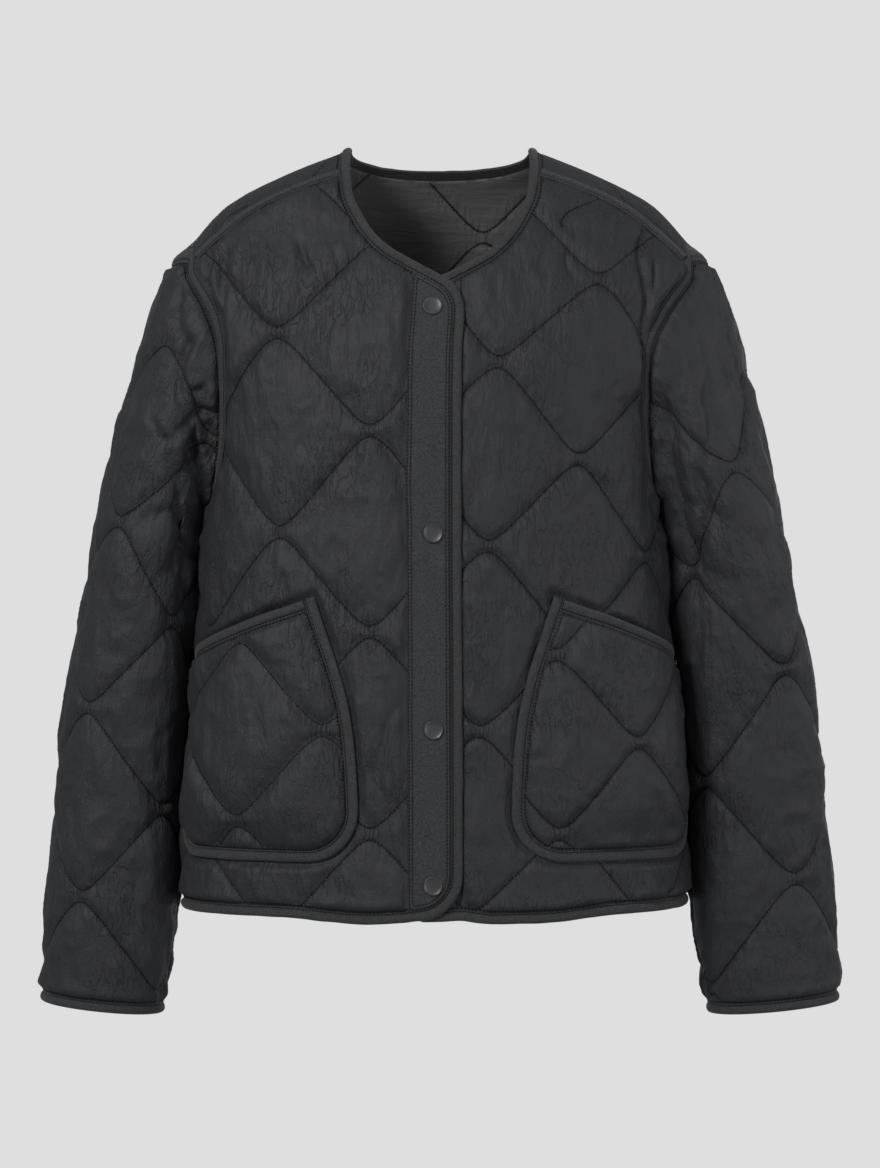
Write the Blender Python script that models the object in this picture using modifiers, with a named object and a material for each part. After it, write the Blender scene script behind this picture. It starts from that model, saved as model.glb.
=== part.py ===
"""A collarless quilted jacket with patch pockets, bound edges and a snap placket, filled out and hollow.

Metres, +Z up. The front faces -Y and the wearer's right is at -X. The origin is between the shoulders' neck
points, where the shoulders carry the jacket. Every panel is a wall over one smooth body or sleeve form. A place
on a form is given as on the flat pattern: `across` from the centre line, and `up` from the hem or the cuff.
"""

import math
from collections import namedtuple

import bmesh
import bpy
import numpy as np
from mathutils import Vector
from mathutils.geometry import delaunay_2d_cdt

# Cloth and gaps
EDGE_WALL = 0.0016  # quilted cloth where it is stitched flat
CROWN = 0.0034  # extra height of the wadding between the stitched lines
CROWN_REACH = 0.030  # distance from a stitched line at which the wadding is full
SEAM_FADE = 0.014  # the wadding is flattened this near an edge
LOFT = 0.0045  # usual outer height over the lining side
GAP = 0.0003
LAYER_GAP = 0.0005
SEAM_CLEARANCE = 0.0004  # sleeve to body along the armhole
BINDING_WIDTH = 0.0090
BINDING_LOW = -0.0005
BINDING_HIGH = 0.0030
TAPE_WIDTH = 0.0085
TAPE_HEIGHT = 0.0009
TAPE_INSET = 0.0051  # armhole tape to the armhole seam
TAPE_MARGIN = 0.0008
ARMHOLE_TAPE_GAP = 0.0016  # the armhole tape stands a little off where the shoulder turns sharply
SHOULDER_TAPE_GAP = 0.0006
PLACKET_HEIGHT = 0.0008

# Mesh spacing
FINE = 0.0020
LINE_SPACING = 0.0170
FILL_SPACING = 0.0250
POCKET_FILL = 0.0210
EDGE_SPACING = 0.0170
ARC_STEP = math.radians(4)
TURN_STEP = math.radians(22)
SLEEVE_EDGE_STEPS = 25
CUFF_STEPS = 20
SHOULDER_STEPS = 9
LINE_STEPS = 60  # places along an edge that is drawn before it is spaced out
ACROSS_STEPS = 161
SECTION_STEPS = 241
LEVEL_STEPS = 120
RIDGE_STEPS = 2400
LEAST_WALL_SHARE = 0.55  # a mitred seam edge is lengthened to keep the wall, down to this cosine

# Body form
HEM_HEIGHT = -0.616
TIP_HEIGHT = -0.098
CROWN_HEIGHT = 0.020  # the form closes over the neck here; that part is cut away by the neckline
SECTION_POWER = 2.4
CHEST_QUARTER = 0.248  # centre line to side seam along the cloth, at the chest
COLUMNS = 121
GRID_STEP = 0.005
SHOULDER_FORWARD = 0.048  # the shoulder seam lies this far in front of the ridge
CORNER_LEG = 0.060  # straight run on each side of a front's turned corner
HEM_FROM = 0.022  # the hem follows its own curve from here to the side seam
NECK_TURN = 0.0005
NECK_RISE = 0.020  # the back neckline runs this far past the shoulder seam before it turns
SEAM_END = 0.2050  # the shoulder seam meets the armhole here
TIP_ACROSS = 0.2330  # the armhole's widest place on the shoulder ridge
TIP_FORWARD = 0.012
OVERLAP_LIFT = 0.0040  # the right front lies this much higher where it overlaps
LIFT_START = -0.078
LIFT_RUN = 0.046
FRONT_EDGE = {"front_right": 0.0215, "front_left": 0.0205}  # front edge past the centre line
CORNER_RADIUS = {"front_right": 0.036, "front_left": 0.013}
FLAT_UNTIL = {"front_right": 0.0235, "front_left": 0.0280}  # no wadding nearer the front edge
NECK_SLOPE = 0.58  # the neckline falls this steeply across the centre line
NECK_BINDING_END = 0.4620
HEM_BINDING_START = {"front_right": 0.0205, "front_left": 0.0060}
PLACKET_EDGE = 0.0205

Level = namedtuple("Level", "height half_width front back shift")
BODY = (
    Level(-0.660, 0.2090, 0.1270, 0.1170, -0.0040),
    Level(-0.616, 0.2074, 0.1265, 0.1170, -0.0040),
    Level(-0.520, 0.2030, 0.1265, 0.1165, -0.0040),
    Level(-0.410, 0.1935, 0.1250, 0.1170, -0.0045),
    Level(-0.316, 0.1875, 0.1220, 0.1190, -0.0050),
    Level(-0.283, 0.1850, 0.1205, 0.1200, -0.0050),
    Level(-0.228, 0.1880, 0.1180, 0.1210, -0.0050),
    Level(-0.178, 0.2010, 0.1130, 0.1190, -0.0045),
    Level(-0.135, 0.2160, 0.1030, 0.1130, -0.0020),
    Level(-0.098, 0.2220, 0.0900, 0.1050, 0.0000),
    Level(-0.072, 0.2010, 0.0780, 0.0980, 0.0000),
    Level(-0.0482, 0.1796, 0.0680, 0.0900, 0.0000),
    Level(-0.0237, 0.1355, 0.0550, 0.0800, 0.0000),
    Level(-0.0033, 0.0850, 0.0400, 0.0620, 0.0000),
    Level(0.0060, 0.0600, 0.0330, 0.0500, 0.0000),
    Level(CROWN_HEIGHT, 0.0050, 0.0100, 0.0200, 0.0000),
)

# Edges of the panels, on the flat pattern
EdgePoint = namedtuple("EdgePoint", "across up")
NECK_FRONT = (
    EdgePoint(0.0000, 0.5090),
    EdgePoint(0.0222, 0.5218),
    EdgePoint(0.0378, 0.5317),
    EdgePoint(0.0511, 0.5465),
    EdgePoint(0.0610, 0.5640),
    EdgePoint(0.0690, 0.5850),
    EdgePoint(0.0715, 0.6099),
)
NeckDrop = namedtuple("NeckDrop", "across height")
NECK_BACK = (
    NeckDrop(0.0000, -0.0090),
    NeckDrop(0.0300, -0.0084),
    NeckDrop(0.0550, -0.0060),
    NeckDrop(0.0690, -0.0020),
)
ARMHOLE_FRONT = (
    EdgePoint(0.2480, 0.3330),
    EdgePoint(0.2330, 0.3340),
    EdgePoint(0.2160, 0.3410),
    EdgePoint(0.2000, 0.3580),
    EdgePoint(0.1895, 0.3809),
    EdgePoint(0.1820, 0.4114),
    EdgePoint(0.1753, 0.4350),
    EdgePoint(0.1735, 0.4600),
    EdgePoint(0.1826, 0.4864),
    EdgePoint(0.2023, 0.5128),
)
ARMHOLE_BACK = (
    EdgePoint(0.2480, 0.3330),
    EdgePoint(0.2330, 0.3345),
    EdgePoint(0.2160, 0.3430),
    EdgePoint(0.2020, 0.3620),
    EdgePoint(0.1940, 0.3900),
    EdgePoint(0.1915, 0.4250),
    EdgePoint(0.1960, 0.4600),
    EdgePoint(0.2080, 0.4920),
    EdgePoint(0.2250, 0.5180),
    EdgePoint(0.2330, 0.5330),
)
HEM_EDGE = (
    EdgePoint(-0.2480, 0.0010),
    EdgePoint(-0.1250, 0.0018),
    EdgePoint(-0.0540, -0.0026),
    EdgePoint(-0.0160, -0.0006),
    EdgePoint(0.0180, 0.0004),
    EdgePoint(0.0440, -0.0026),
    EdgePoint(0.0830, -0.0022),
    EdgePoint(0.1410, 0.0030),
    EdgePoint(0.2480, 0.0040),
)

Corner = namedtuple("Corner", "across up radius")
POCKET = (
    Corner(0.0935, 0.2535, 0.002),
    Corner(0.0625, 0.1650, 0.300),
    Corner(0.0565, 0.0455, 0.040),
    Corner(0.2360, 0.0455, 0.044),
    Corner(0.2360, 0.2010, 0.002),
)
POCKET_BASE = EDGE_WALL + 0.0009
POCKET_HOLLOW = 0.0082
POCKET_RISE = 0.038
POCKET_CROWN = 0.0026
POCKET_MARGIN = 0.0015  # the front is flat under the pocket and this far round it
POCKET_BINDING_HEIGHT = 0.0028
MOUTH_STEPS = 10

# Sleeve form: the outer edge is the finished one, the inner edge is the lining side
Ring = namedtuple("Ring", "outer_x outer_z inner_x inner_z depth centre_y power")
Station = namedtuple("Station", ("place",) + Ring._fields)
SLEEVE = (
    Ring(0.2220, -0.0980, 0.1805, -0.2830, 0.072, 0.008, 2.0),
    Ring(0.2415, -0.1420, 0.1960, -0.2875, 0.075, 0.009, 2.1),
    Ring(0.2560, -0.1930, 0.2010, -0.3050, 0.075, 0.010, 2.2),
    Ring(0.2700, -0.2500, 0.2005, -0.3350, 0.072, 0.011, 2.3),
    Ring(0.2790, -0.3030, 0.2005, -0.3720, 0.069, 0.012, 2.3),
    Ring(0.2922, -0.3730, 0.2025, -0.4250, 0.065, 0.013, 2.3),
    Ring(0.3060, -0.4470, 0.2060, -0.4850, 0.060, 0.013, 2.3),
    Ring(0.3150, -0.5400, 0.2120, -0.5670, 0.054, 0.012, 2.2),
    Ring(0.3245, -0.6500, 0.2210, -0.6660, 0.046, 0.010, 2.1),
    Ring(0.3280, -0.6920, 0.2260, -0.7026, 0.043, 0.009, 2.1),
)
INNER_SHIFT = {"right": 0.0035, "left": -0.0038}
SLEEVE_COLUMNS = 73
SLEEVE_RINGS = 161
ARMHOLE_BLEND = 0.38  # share of the sleeve over which the armhole's shape passes into round rings
ARMHOLE_FRONT_STEPS = 18
ARMHOLE_BACK_STEPS = 26

# Quilting: mirrored zigzag waves with rounded turns
QuiltPlan = namedtuple("QuiltPlan", "across up turn half row")
NODE_APPROACH = 0.0095  # neighbouring waves come this near each other
TURN_SHARPNESS = 0.96
QUILTS = {
    "front_right": QuiltPlan(-0.0496, 0.3830, 0.0, 0.0740, 0.0788),
    "front_left": QuiltPlan(0.0503, 0.4376, -3.0, 0.0700, 0.0725),
    "back": QuiltPlan(0.0360, 0.5580, 0.0, 0.0740, 0.0785),
    "sleeve_right": QuiltPlan(0.0500, 0.3900, 0.0, 0.0720, 0.0800),
    "sleeve_left": QuiltPlan(-0.0500, 0.3600, 0.0, 0.0720, 0.0820),
    "pocket_right": QuiltPlan(-0.0856, 0.1491, 0.0, 0.0640, 0.0720),
    "pocket_left": QuiltPlan(0.0943, 0.2076, 0.0, 0.0600, 0.0700),
}

# Largest folds: soft troughs (depth > 0) or ridges (depth < 0) between two places on the pattern
Fold = namedtuple("Fold", "across_1 up_1 across_2 up_2 depth width")
FOLDS = {
    "front": (
        Fold(-0.1560, 0.5150, -0.1530, 0.4400, 0.0036, 0.0090),
        Fold(-0.1400, 0.5150, -0.1360, 0.4700, -0.0022, 0.0100),
        Fold(-0.1080, 0.5450, -0.1240, 0.4950, 0.0022, 0.0090),
        Fold(-0.0330, 0.3600, -0.0420, 0.2900, 0.0022, 0.0110),
        Fold(-0.0340, 0.1600, -0.0400, 0.1100, 0.0020, 0.0100),
        Fold(0.1540, 0.5100, 0.1520, 0.4350, 0.0038, 0.0090),
        Fold(0.1370, 0.5100, 0.1340, 0.4650, -0.0022, 0.0100),
        Fold(0.0860, 0.5400, 0.0980, 0.4950, 0.0020, 0.0090),
    ),
    "back": (
        Fold(-0.1660, 0.5000, -0.1620, 0.4100, 0.0036, 0.0100),
        Fold(0.1670, 0.5000, 0.1640, 0.4000, 0.0034, 0.0100),
        Fold(-0.0900, 0.4700, -0.0500, 0.4200, 0.0022, 0.0120),
        Fold(0.0700, 0.2600, 0.0950, 0.1700, 0.0024, 0.0130),
        Fold(-0.1100, 0.2100, -0.0850, 0.1100, 0.0022, 0.0130),
    ),
    "sleeve": (
        Fold(0.0900, 0.5050, 0.1150, 0.4400, 0.0040, 0.0100),
        Fold(0.1150, 0.4250, 0.0700, 0.3900, 0.0035, 0.0090),
        Fold(0.1350, 0.4100, 0.1050, 0.3500, 0.0038, 0.0090),
        Fold(0.0300, 0.5100, 0.0450, 0.4300, 0.0022, 0.0120),
        Fold(0.0650, 0.3400, 0.0700, 0.2300, 0.0028, 0.0110),
        Fold(-0.0900, 0.4950, -0.1120, 0.4300, 0.0036, 0.0100),
        Fold(-0.1200, 0.4050, -0.0750, 0.3650, 0.0032, 0.0100),
        Fold(-0.0600, 0.3200, -0.0700, 0.2000, 0.0024, 0.0120),
    ),
}

SNAP_RADIUS = 0.0075
SNAP_HEIGHT = 0.0024
SNAP_STEPS = 20
SnapPlace = namedtuple("SnapPlace", "across up")
SNAPS = (
    SnapPlace(-0.0038, 0.4817),
    SnapPlace(-0.0005, 0.3026),
    SnapPlace(-0.0009, 0.1494),
    SnapPlace(-0.0015, 0.0279),
)
RimPoint = namedtuple("RimPoint", "radius_share height_share")
SNAP_PROFILE = (
    RimPoint(0.00, 1.00),
    RimPoint(0.55, 0.93),
    RimPoint(0.88, 0.70),
    RimPoint(1.00, 0.38),
    RimPoint(0.96, 0.00),
    RimPoint(0.00, 0.00),
)

SHARP_ANGLE = math.radians(50)
ARMHOLE_MARGIN = TAPE_INSET + TAPE_WIDTH + TAPE_MARGIN
SHOULDER_MARGIN = TAPE_WIDTH / 2 + TAPE_MARGIN
EDGE_CLEARANCE = 0.0035
LINE_CLEARANCE = 0.0060
WAVE_CLEARANCE = 0.0075
LEAST_FULLNESS = 0.06
CORNER_MARGIN = 0.026  # flat this far round the meeting of a shoulder tape and an armhole tape
JOIN_REACH = 0.0015

SHELL = ("quilted_nylon", (0.037, 0.038, 0.042), 0.55)
TWILL = ("binding_twill", (0.052, 0.053, 0.055), 0.85)
CAP = ("snap_cap", (0.055, 0.056, 0.058), 0.45)

SIDES = {"right": -1, "left": 1}


# --- curves and tables -------------------------------------------------------------------------------------


def read(rows, given, wanted, at):
    """Smooth monotone curve through a table's rows, read at one or many places."""
    x = np.array([getattr(row, given) for row in rows])
    y = np.array([getattr(row, wanted) for row in rows])
    run = np.diff(x)
    rise = np.diff(y) / run
    slope = np.zeros_like(y)
    same = rise[:-1] * rise[1:] > 0
    slope[1:-1][same] = 2 * rise[:-1][same] * rise[1:][same] / (rise[:-1] + rise[1:])[same]
    slope[0] = rise[0]
    slope[-1] = rise[-1]
    at = np.clip(at, x[0], x[-1])
    k = np.clip(np.searchsorted(x, at) - 1, 0, len(run) - 1)
    t = (at - x[k]) / run[k]
    start = y[k] * (1 + 2 * t) * (1 - t) ** 2 + run[k] * slope[k] * t * (1 - t) ** 2
    end = y[k + 1] * t * t * (3 - 2 * t) - run[k] * slope[k + 1] * t * t * (1 - t)
    return start + end


def through(points, count):
    """Smooth curve through a few points, resampled to evenly spaced ones."""
    points = np.asarray(points, float)
    padded = np.concatenate([[2 * points[0] - points[1]], points, [2 * points[-1] - points[-2]]])
    fine = []
    for k in range(1, len(padded) - 2):
        t = np.linspace(0, 1, 12, endpoint=False)[:, None]
        before, a, b, after = padded[k - 1:k + 3]
        fine.append(a + t * (b - before) / 2 + t**2 * (before - 2.5 * a + 2 * b - after / 2)
                    + t**3 * (1.5 * a - before / 2 - 1.5 * b + after / 2))
    return resample(np.concatenate(fine + [points[-1:]]), count)


def lengths(points):
    steps = np.linalg.norm(np.diff(points, axis=0), axis=1)
    return np.concatenate([[0], np.cumsum(steps)])


def resample(points, count):
    run = lengths(points)
    at = np.linspace(0, run[-1], count)
    return np.stack([np.interp(at, run, points[:, k]) for k in range(points.shape[1])], axis=1)


def spaced(points, spacing):
    run = lengths(points)[-1]
    return resample(points, max(2, int(round(run / spacing)) + 1))


def smoothstep(t):
    t = np.clip(t, 0, 1)
    return t * t * (3 - 2 * t)


def rounded(corners, closed=True):
    """Outline with rounded corners, from rows of across, up and radius. An open one keeps its two ends."""
    points = []
    count = len(corners)
    for k, corner in enumerate(corners):
        here = np.array([corner.across, corner.up])
        if not closed and k in (0, count - 1):
            points.append(here)
            continue
        back = np.array(corners[k - 1][:2]) - here
        ahead = np.array(corners[(k + 1) % count][:2]) - here
        back = back / np.linalg.norm(back)
        ahead = ahead / np.linalg.norm(ahead)
        half = math.acos(np.clip(back @ ahead, -1, 1)) / 2
        reach = corner.radius / math.tan(half)
        start = here + back * reach
        end = here + ahead * reach
        middle = here + (back + ahead) / np.linalg.norm(back + ahead) * corner.radius / math.sin(half)
        turn = math.pi - 2 * half
        steps = max(2, int(math.ceil(turn / ARC_STEP)))
        for t in np.linspace(0, 1, steps + 1):
            chord = start * (1 - t) + end * t - middle
            points.append(middle + chord / np.linalg.norm(chord) * corner.radius)
    return np.array(points)


def inset(points, distance, left=True):
    """Open line moved sideways on the pattern."""
    ahead = np.gradient(points, axis=0)
    ahead /= np.linalg.norm(ahead, axis=1, keepdims=True)
    side = np.stack([-ahead[:, 1], ahead[:, 0]], axis=1)
    return points + side * distance * (1 if left else -1)


def marks_along(line, spacing, fixed=()):
    """Lengths along a line for its stations: evenly spread, closer together in turns."""
    run = lengths(line)
    steps = np.diff(line, axis=0)
    turn = np.abs(np.gradient(np.unwrap(np.arctan2(steps[:, 1], steps[:, 0]))))
    need = np.concatenate([[0], np.cumsum(np.maximum(np.diff(run) / spacing, turn / TURN_STEP))])
    ends = np.concatenate([[0], np.sort(fixed), [run[-1]]])
    marks = [ends[:1]]
    for start, end in zip(ends[:-1], ends[1:]):
        low, high = np.interp([start, end], run, need)
        count = max(1, math.ceil(high - low))
        marks.append(np.interp(np.linspace(low, high, count + 1)[1:], need, run))
    return np.concatenate(marks)


def beside(line, marks, distance, left=True):
    """Places at lengths along a line, moved sideways from it."""
    run = lengths(line)
    moved = inset(line, distance, left)
    return np.stack([np.interp(marks, run, moved[:, k]) for k in range(2)], axis=1)


def inside(outline, points):
    """Which points lie inside a closed outline."""
    a = outline
    b = np.roll(outline, -1, axis=0)
    x = points[:, 0][:, None]
    y = points[:, 1][:, None]
    crosses = (a[:, 1] > y) != (b[:, 1] > y)
    rise = np.where(b[:, 1] == a[:, 1], 1.0, b[:, 1] - a[:, 1])
    where = a[:, 0] + (y - a[:, 1]) / rise * (b[:, 0] - a[:, 0])
    return (crosses & (x < where)).sum(axis=1) % 2 == 1


def distance_to(line, points, closed=True):
    """Distance from each point to a line of straight pieces."""
    a = line if closed else line[:-1]
    b = np.roll(line, -1, axis=0) if closed else line[1:]
    along = b - a
    size = np.maximum((along**2).sum(axis=1), 1e-12)
    to = points[:, None] - a
    t = np.clip((to * along).sum(axis=2) / size, 0, 1)
    return np.linalg.norm(to - t[..., None] * along, axis=2).min(axis=1)


# --- forms -------------------------------------------------------------------------------------------------


def weights(t):
    return (
        (-t + 2 * t**2 - t**3) / 2,
        (2 - 5 * t**2 + 3 * t**3) / 2,
        (t + 4 * t**2 - 3 * t**3) / 2,
        (-(t**2) + t**3) / 2,
    )


def between(table, i, j):
    """Smooth reading of a regular grid between its points."""
    i0 = np.clip(np.floor(i).astype(int), 0, table.shape[0] - 2)
    j0 = np.clip(np.floor(j).astype(int), 0, table.shape[1] - 2)
    total = 0
    for a, weight_i in enumerate(weights(i - i0)):
        ia = np.clip(i0 + a - 1, 0, table.shape[0] - 1)
        for b, weight_j in enumerate(weights(j - j0)):
            jb = np.clip(j0 + b - 1, 0, table.shape[1] - 1)
            total = total + (weight_i * weight_j)[..., None] * table[ia, jb]
    return total


def unit(vectors):
    return vectors / np.maximum(np.linalg.norm(vectors, axis=-1, keepdims=True), 1e-12)


def fold_depth(folds, across, up):
    """Inward displacement by soft folds that fade at their ends."""
    total = np.zeros(np.broadcast(across, up).shape)
    for fold in folds:
        start = np.array([fold.across_1, fold.up_1])
        along = np.array([fold.across_2, fold.up_2]) - start
        size = np.linalg.norm(along)
        along = along / size
        x = (across - start[0]) * along[0] + (up - start[1]) * along[1]
        y = (up - start[1]) * along[0] - (across - start[0]) * along[1]
        fade = np.exp(-((np.abs(x / size - 0.5) / 0.5) ** 4))
        total = total + fold.depth * fade * np.exp(-((y / fold.width) ** 2))
    return total


class Form:
    """A grid of points and outward normals over a flat pattern."""

    def finish(self, points, outward, folds):
        self.points = points
        self.outward = outward
        self.face()
        across, up = np.meshgrid(self.across, self.up, indexing="ij")
        self.points = points - self.normals * fold_depth(folds, self.width(across, up), up)[..., None]
        self.face()

    def face(self):
        across = np.gradient(self.points, axis=0)
        up = np.gradient(self.points, axis=1)
        self.normals = unit(np.cross(across, up)) * self.outward

    def width(self, across, up):
        return across

    def column(self, across, up):
        return across

    def cells(self, across, up):
        across = self.column(np.asarray(across, float), np.asarray(up, float))
        i = (across - self.across[0]) / (self.across[1] - self.across[0])
        j = (np.asarray(up, float) - self.up[0]) / (self.up[1] - self.up[0])
        return i, j

    def normal(self, across, up):
        return unit(between(self.normals, *self.cells(across, up)))

    def at(self, across, up, out=0.0):
        out = np.broadcast_to(np.asarray(out, float), np.shape(across))
        return between(self.points, *self.cells(across, up)) + self.normal(across, up) * out[..., None]


def body_size(name, height):
    value = read(BODY, "height", name, height)
    return value if name == "shift" else value - LOFT


def section_point(fraction, height, side):
    """x and depth on a quarter of the body's section, at a fraction of the way from centre to side."""
    half_width = body_size("half_width", height)
    depth = body_size(side, height)
    turn = np.linspace(0, math.pi / 2, SECTION_STEPS)
    x = half_width * np.sin(turn) ** (2 / SECTION_POWER)
    y = depth * np.cos(turn) ** (2 / SECTION_POWER)
    run = lengths(np.stack([x, y], axis=1))
    at = fraction * CHEST_QUARTER + (run[-1] - CHEST_QUARTER) * fraction**2
    return np.interp(at, run, x), np.interp(at, run, y)


def half_column(fraction, side):
    """One side of a column of the pattern, from below the hem up to the shoulder ridge."""
    heights = np.linspace(BODY[0].height, TIP_HEIGHT, LEVEL_STEPS)
    points = [(*section_point(fraction, height, side), height) for height in heights]
    x = points[-1][0]
    heights = np.linspace(TIP_HEIGHT, CROWN_HEIGHT - 1e-4, RIDGE_STEPS)
    ridge = np.interp(-x, -body_size("half_width", heights), heights)
    if ridge < TIP_HEIGHT + 1e-5:
        return np.array(points)
    t = np.linspace(0, 1, LINE_STEPS)[1:]
    z = ridge - (ridge - TIP_HEIGHT) * (1 - t) ** SECTION_POWER
    share = np.clip(x / body_size("half_width", z), 0, 1)
    y = body_size(side, z) * (1 - share**SECTION_POWER) ** (1 / SECTION_POWER)
    y[-1] = 0
    return np.concatenate([points, np.stack([np.full_like(z, x), y, z], axis=1)])


class BodyForm(Form):
    """Lining side of the body: columns run up one side, over the shoulder ridge and down the other."""

    def __init__(self, side):
        other = "back" if side == "front" else "front"
        facing = -1 if side == "front" else 1
        fractions = np.linspace(-1, 1, COLUMNS)
        self.across = fractions * CHEST_QUARTER
        self.up = np.arange(-0.030, 0.780, GRID_STEP)
        grid = []
        ridge = []
        for fraction in fractions:
            near = half_column(abs(fraction), side)
            far = half_column(abs(fraction), other)[::-1]
            hem = np.interp(HEM_HEIGHT, near[:, 2], lengths(near))
            ridge.append(lengths(near)[-1] - hem)
            column = np.concatenate([near * [1, facing, 1], (far * [1, -facing, 1])[1:]])
            column[:, 0] = column[:, 0] * np.sign(fraction) + body_size("shift", column[:, 2])
            run = lengths(column) - hem
            grid.append(np.stack([np.interp(self.up, run, column[:, k]) for k in range(3)], axis=1))
        self.ridge_lengths = np.array(ridge)
        self.finish(np.array(grid), -facing, FOLDS[side])

    def ridge(self, across):
        return np.interp(across, self.across, self.ridge_lengths)

    def up_at_height(self, across, height):
        """How far up a column reaches this height, below the ridge."""
        top = self.ridge(across)
        up = np.linspace(0.3, top, 400)
        heights = self.at(np.full_like(up, across), up)[:, 2]
        return float(np.interp(height, heights, up))


for thing in list(bpy.data.objects):
    bpy.data.objects.remove(thing, do_unlink=True)
PARTS = bpy.data.collections.new("quilted_jacket")
bpy.context.scene.collection.children.link(PARTS)

FRONT = BodyForm("front")
BACK = BodyForm("back")


def armhole_half(form, rows):
    """Half of an armhole on the left side's pattern, from the underarm to the shoulder seam."""
    points = [(row.across, row.up) for row in rows]
    if form is BACK:
        points.append((TIP_ACROSS, form.ridge(TIP_ACROSS) + TIP_FORWARD))
        points.append((SEAM_END, form.ridge(SEAM_END) + SHOULDER_FORWARD))
    else:
        points.append((SEAM_END, form.ridge(SEAM_END) - SHOULDER_FORWARD))
    return through(points, 241)


class Armhole:
    """The seam between body and sleeve: down the front half from the shoulder seam, then up the back half."""

    def __init__(self, side):
        self.side = side
        self.front = armhole_half(FRONT, ARMHOLE_FRONT)
        self.back = armhole_half(BACK, ARMHOLE_BACK)
        self.front_marks = np.linspace(0, lengths(self.front)[-1], ARMHOLE_FRONT_STEPS)
        self.back_marks = np.linspace(0, lengths(self.back)[-1], ARMHOLE_BACK_STEPS)
        front = beside(self.front, self.front_marks, 0)[::-1] * [side, 1]
        back = beside(self.back, self.back_marks, 0)[1:-1] * [side, 1]
        self.points = np.concatenate([FRONT.at(*front.T), BACK.at(*back.T)])
        self.body_normals = np.concatenate([FRONT.normal(*front.T), BACK.normal(*back.T)])
        self.top = int(np.argmax(self.points[:, 2]))
        self.bottom = len(front) - 1
        self.turns = self.share_of_round()

    def share_of_round(self):
        """How far round the sleeve each point lies: 0 at the top, 0.5 at the underarm, front positive."""
        run = lengths(np.concatenate([self.points, self.points[:1]]))
        total = run[-1]
        down_front = (run[self.bottom] - run[self.top]) % total
        behind = total - down_front
        turns = []
        for at in run[:-1]:
            past = (at - run[self.top]) % total
            turns.append(past / down_front / 2 if past <= down_front else (past - total) / behind / 2)
        return np.array(turns)

    def at_turn(self, turns):
        """Points of the seam at any share of the round."""
        order = np.argsort(self.turns)
        known = self.turns[order]
        points = self.points[order]
        known = np.concatenate([[known[-1] - 1], known, [known[0] + 1]])
        points = np.concatenate([points[-1:], points, points[:1]])
        return np.stack([np.interp(turns, known, points[:, k]) for k in range(3)], axis=1)

    def meet(self, sleeve):
        """Sets the rise of the mitred wall edge at each point, and the way from the seam into the sleeve."""
        top = sleeve.top(self.turns)
        normals = sleeve.normal(self.turns * sleeve.round_at(top), top)
        mitre = unit(self.body_normals + normals)
        cosine = np.maximum((mitre * self.body_normals).sum(axis=1), LEAST_WALL_SHARE)
        self.rise = mitre * (EDGE_WALL / cosine)[:, None]
        ahead = np.roll(self.points, -1, axis=0) - np.roll(self.points, 1, axis=0)
        towards = unit(np.cross(ahead, mitre))
        lower = top - 0.010
        down = sleeve.at(self.turns * sleeve.round_at(lower), lower) - self.points
        self.towards = towards * np.sign((towards * down).sum(axis=1))[:, None]

    def rims(self, form, edge, first):
        """Places of a body panel's two faces along this seam, by place on the panel's outline."""
        result = {}
        for k, point in enumerate(edge):
            low = form.at(*point)
            nearest = int(np.argmin(np.linalg.norm(self.points - low, axis=1)))
            result[first + k] = (low, low + self.rise[nearest])
        return result

    def for_sleeve(self):
        """Shares of the round, in order, and the sleeve wall's two faces there, just clear of the body."""
        order = np.argsort(self.turns)
        order = order[np.abs(self.turns[order]) < 0.4999]
        order = np.concatenate([[self.bottom], order, [self.bottom]])
        turns = self.turns[order]
        turns[0] = -0.5
        turns[-1] = 0.5
        start = self.points + self.towards * SEAM_CLEARANCE
        return turns, [(start[k], start[k] + self.rise[k]) for k in order]


def ring_outline(turns, width, depth, power):
    """Places round a superellipse by share of its length: (along the width, towards the front)."""
    angle = np.linspace(0, math.pi, 181)
    x = np.sign(np.cos(angle)) * np.abs(np.cos(angle)) ** (2 / power) * width
    y = np.abs(np.sin(angle)) ** (2 / power) * depth
    run = lengths(np.stack([x, y], axis=1))
    at = np.abs(turns) * 2 * run[-1]
    return np.interp(at, run, x), np.interp(at, run, y) * np.sign(turns)


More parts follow.
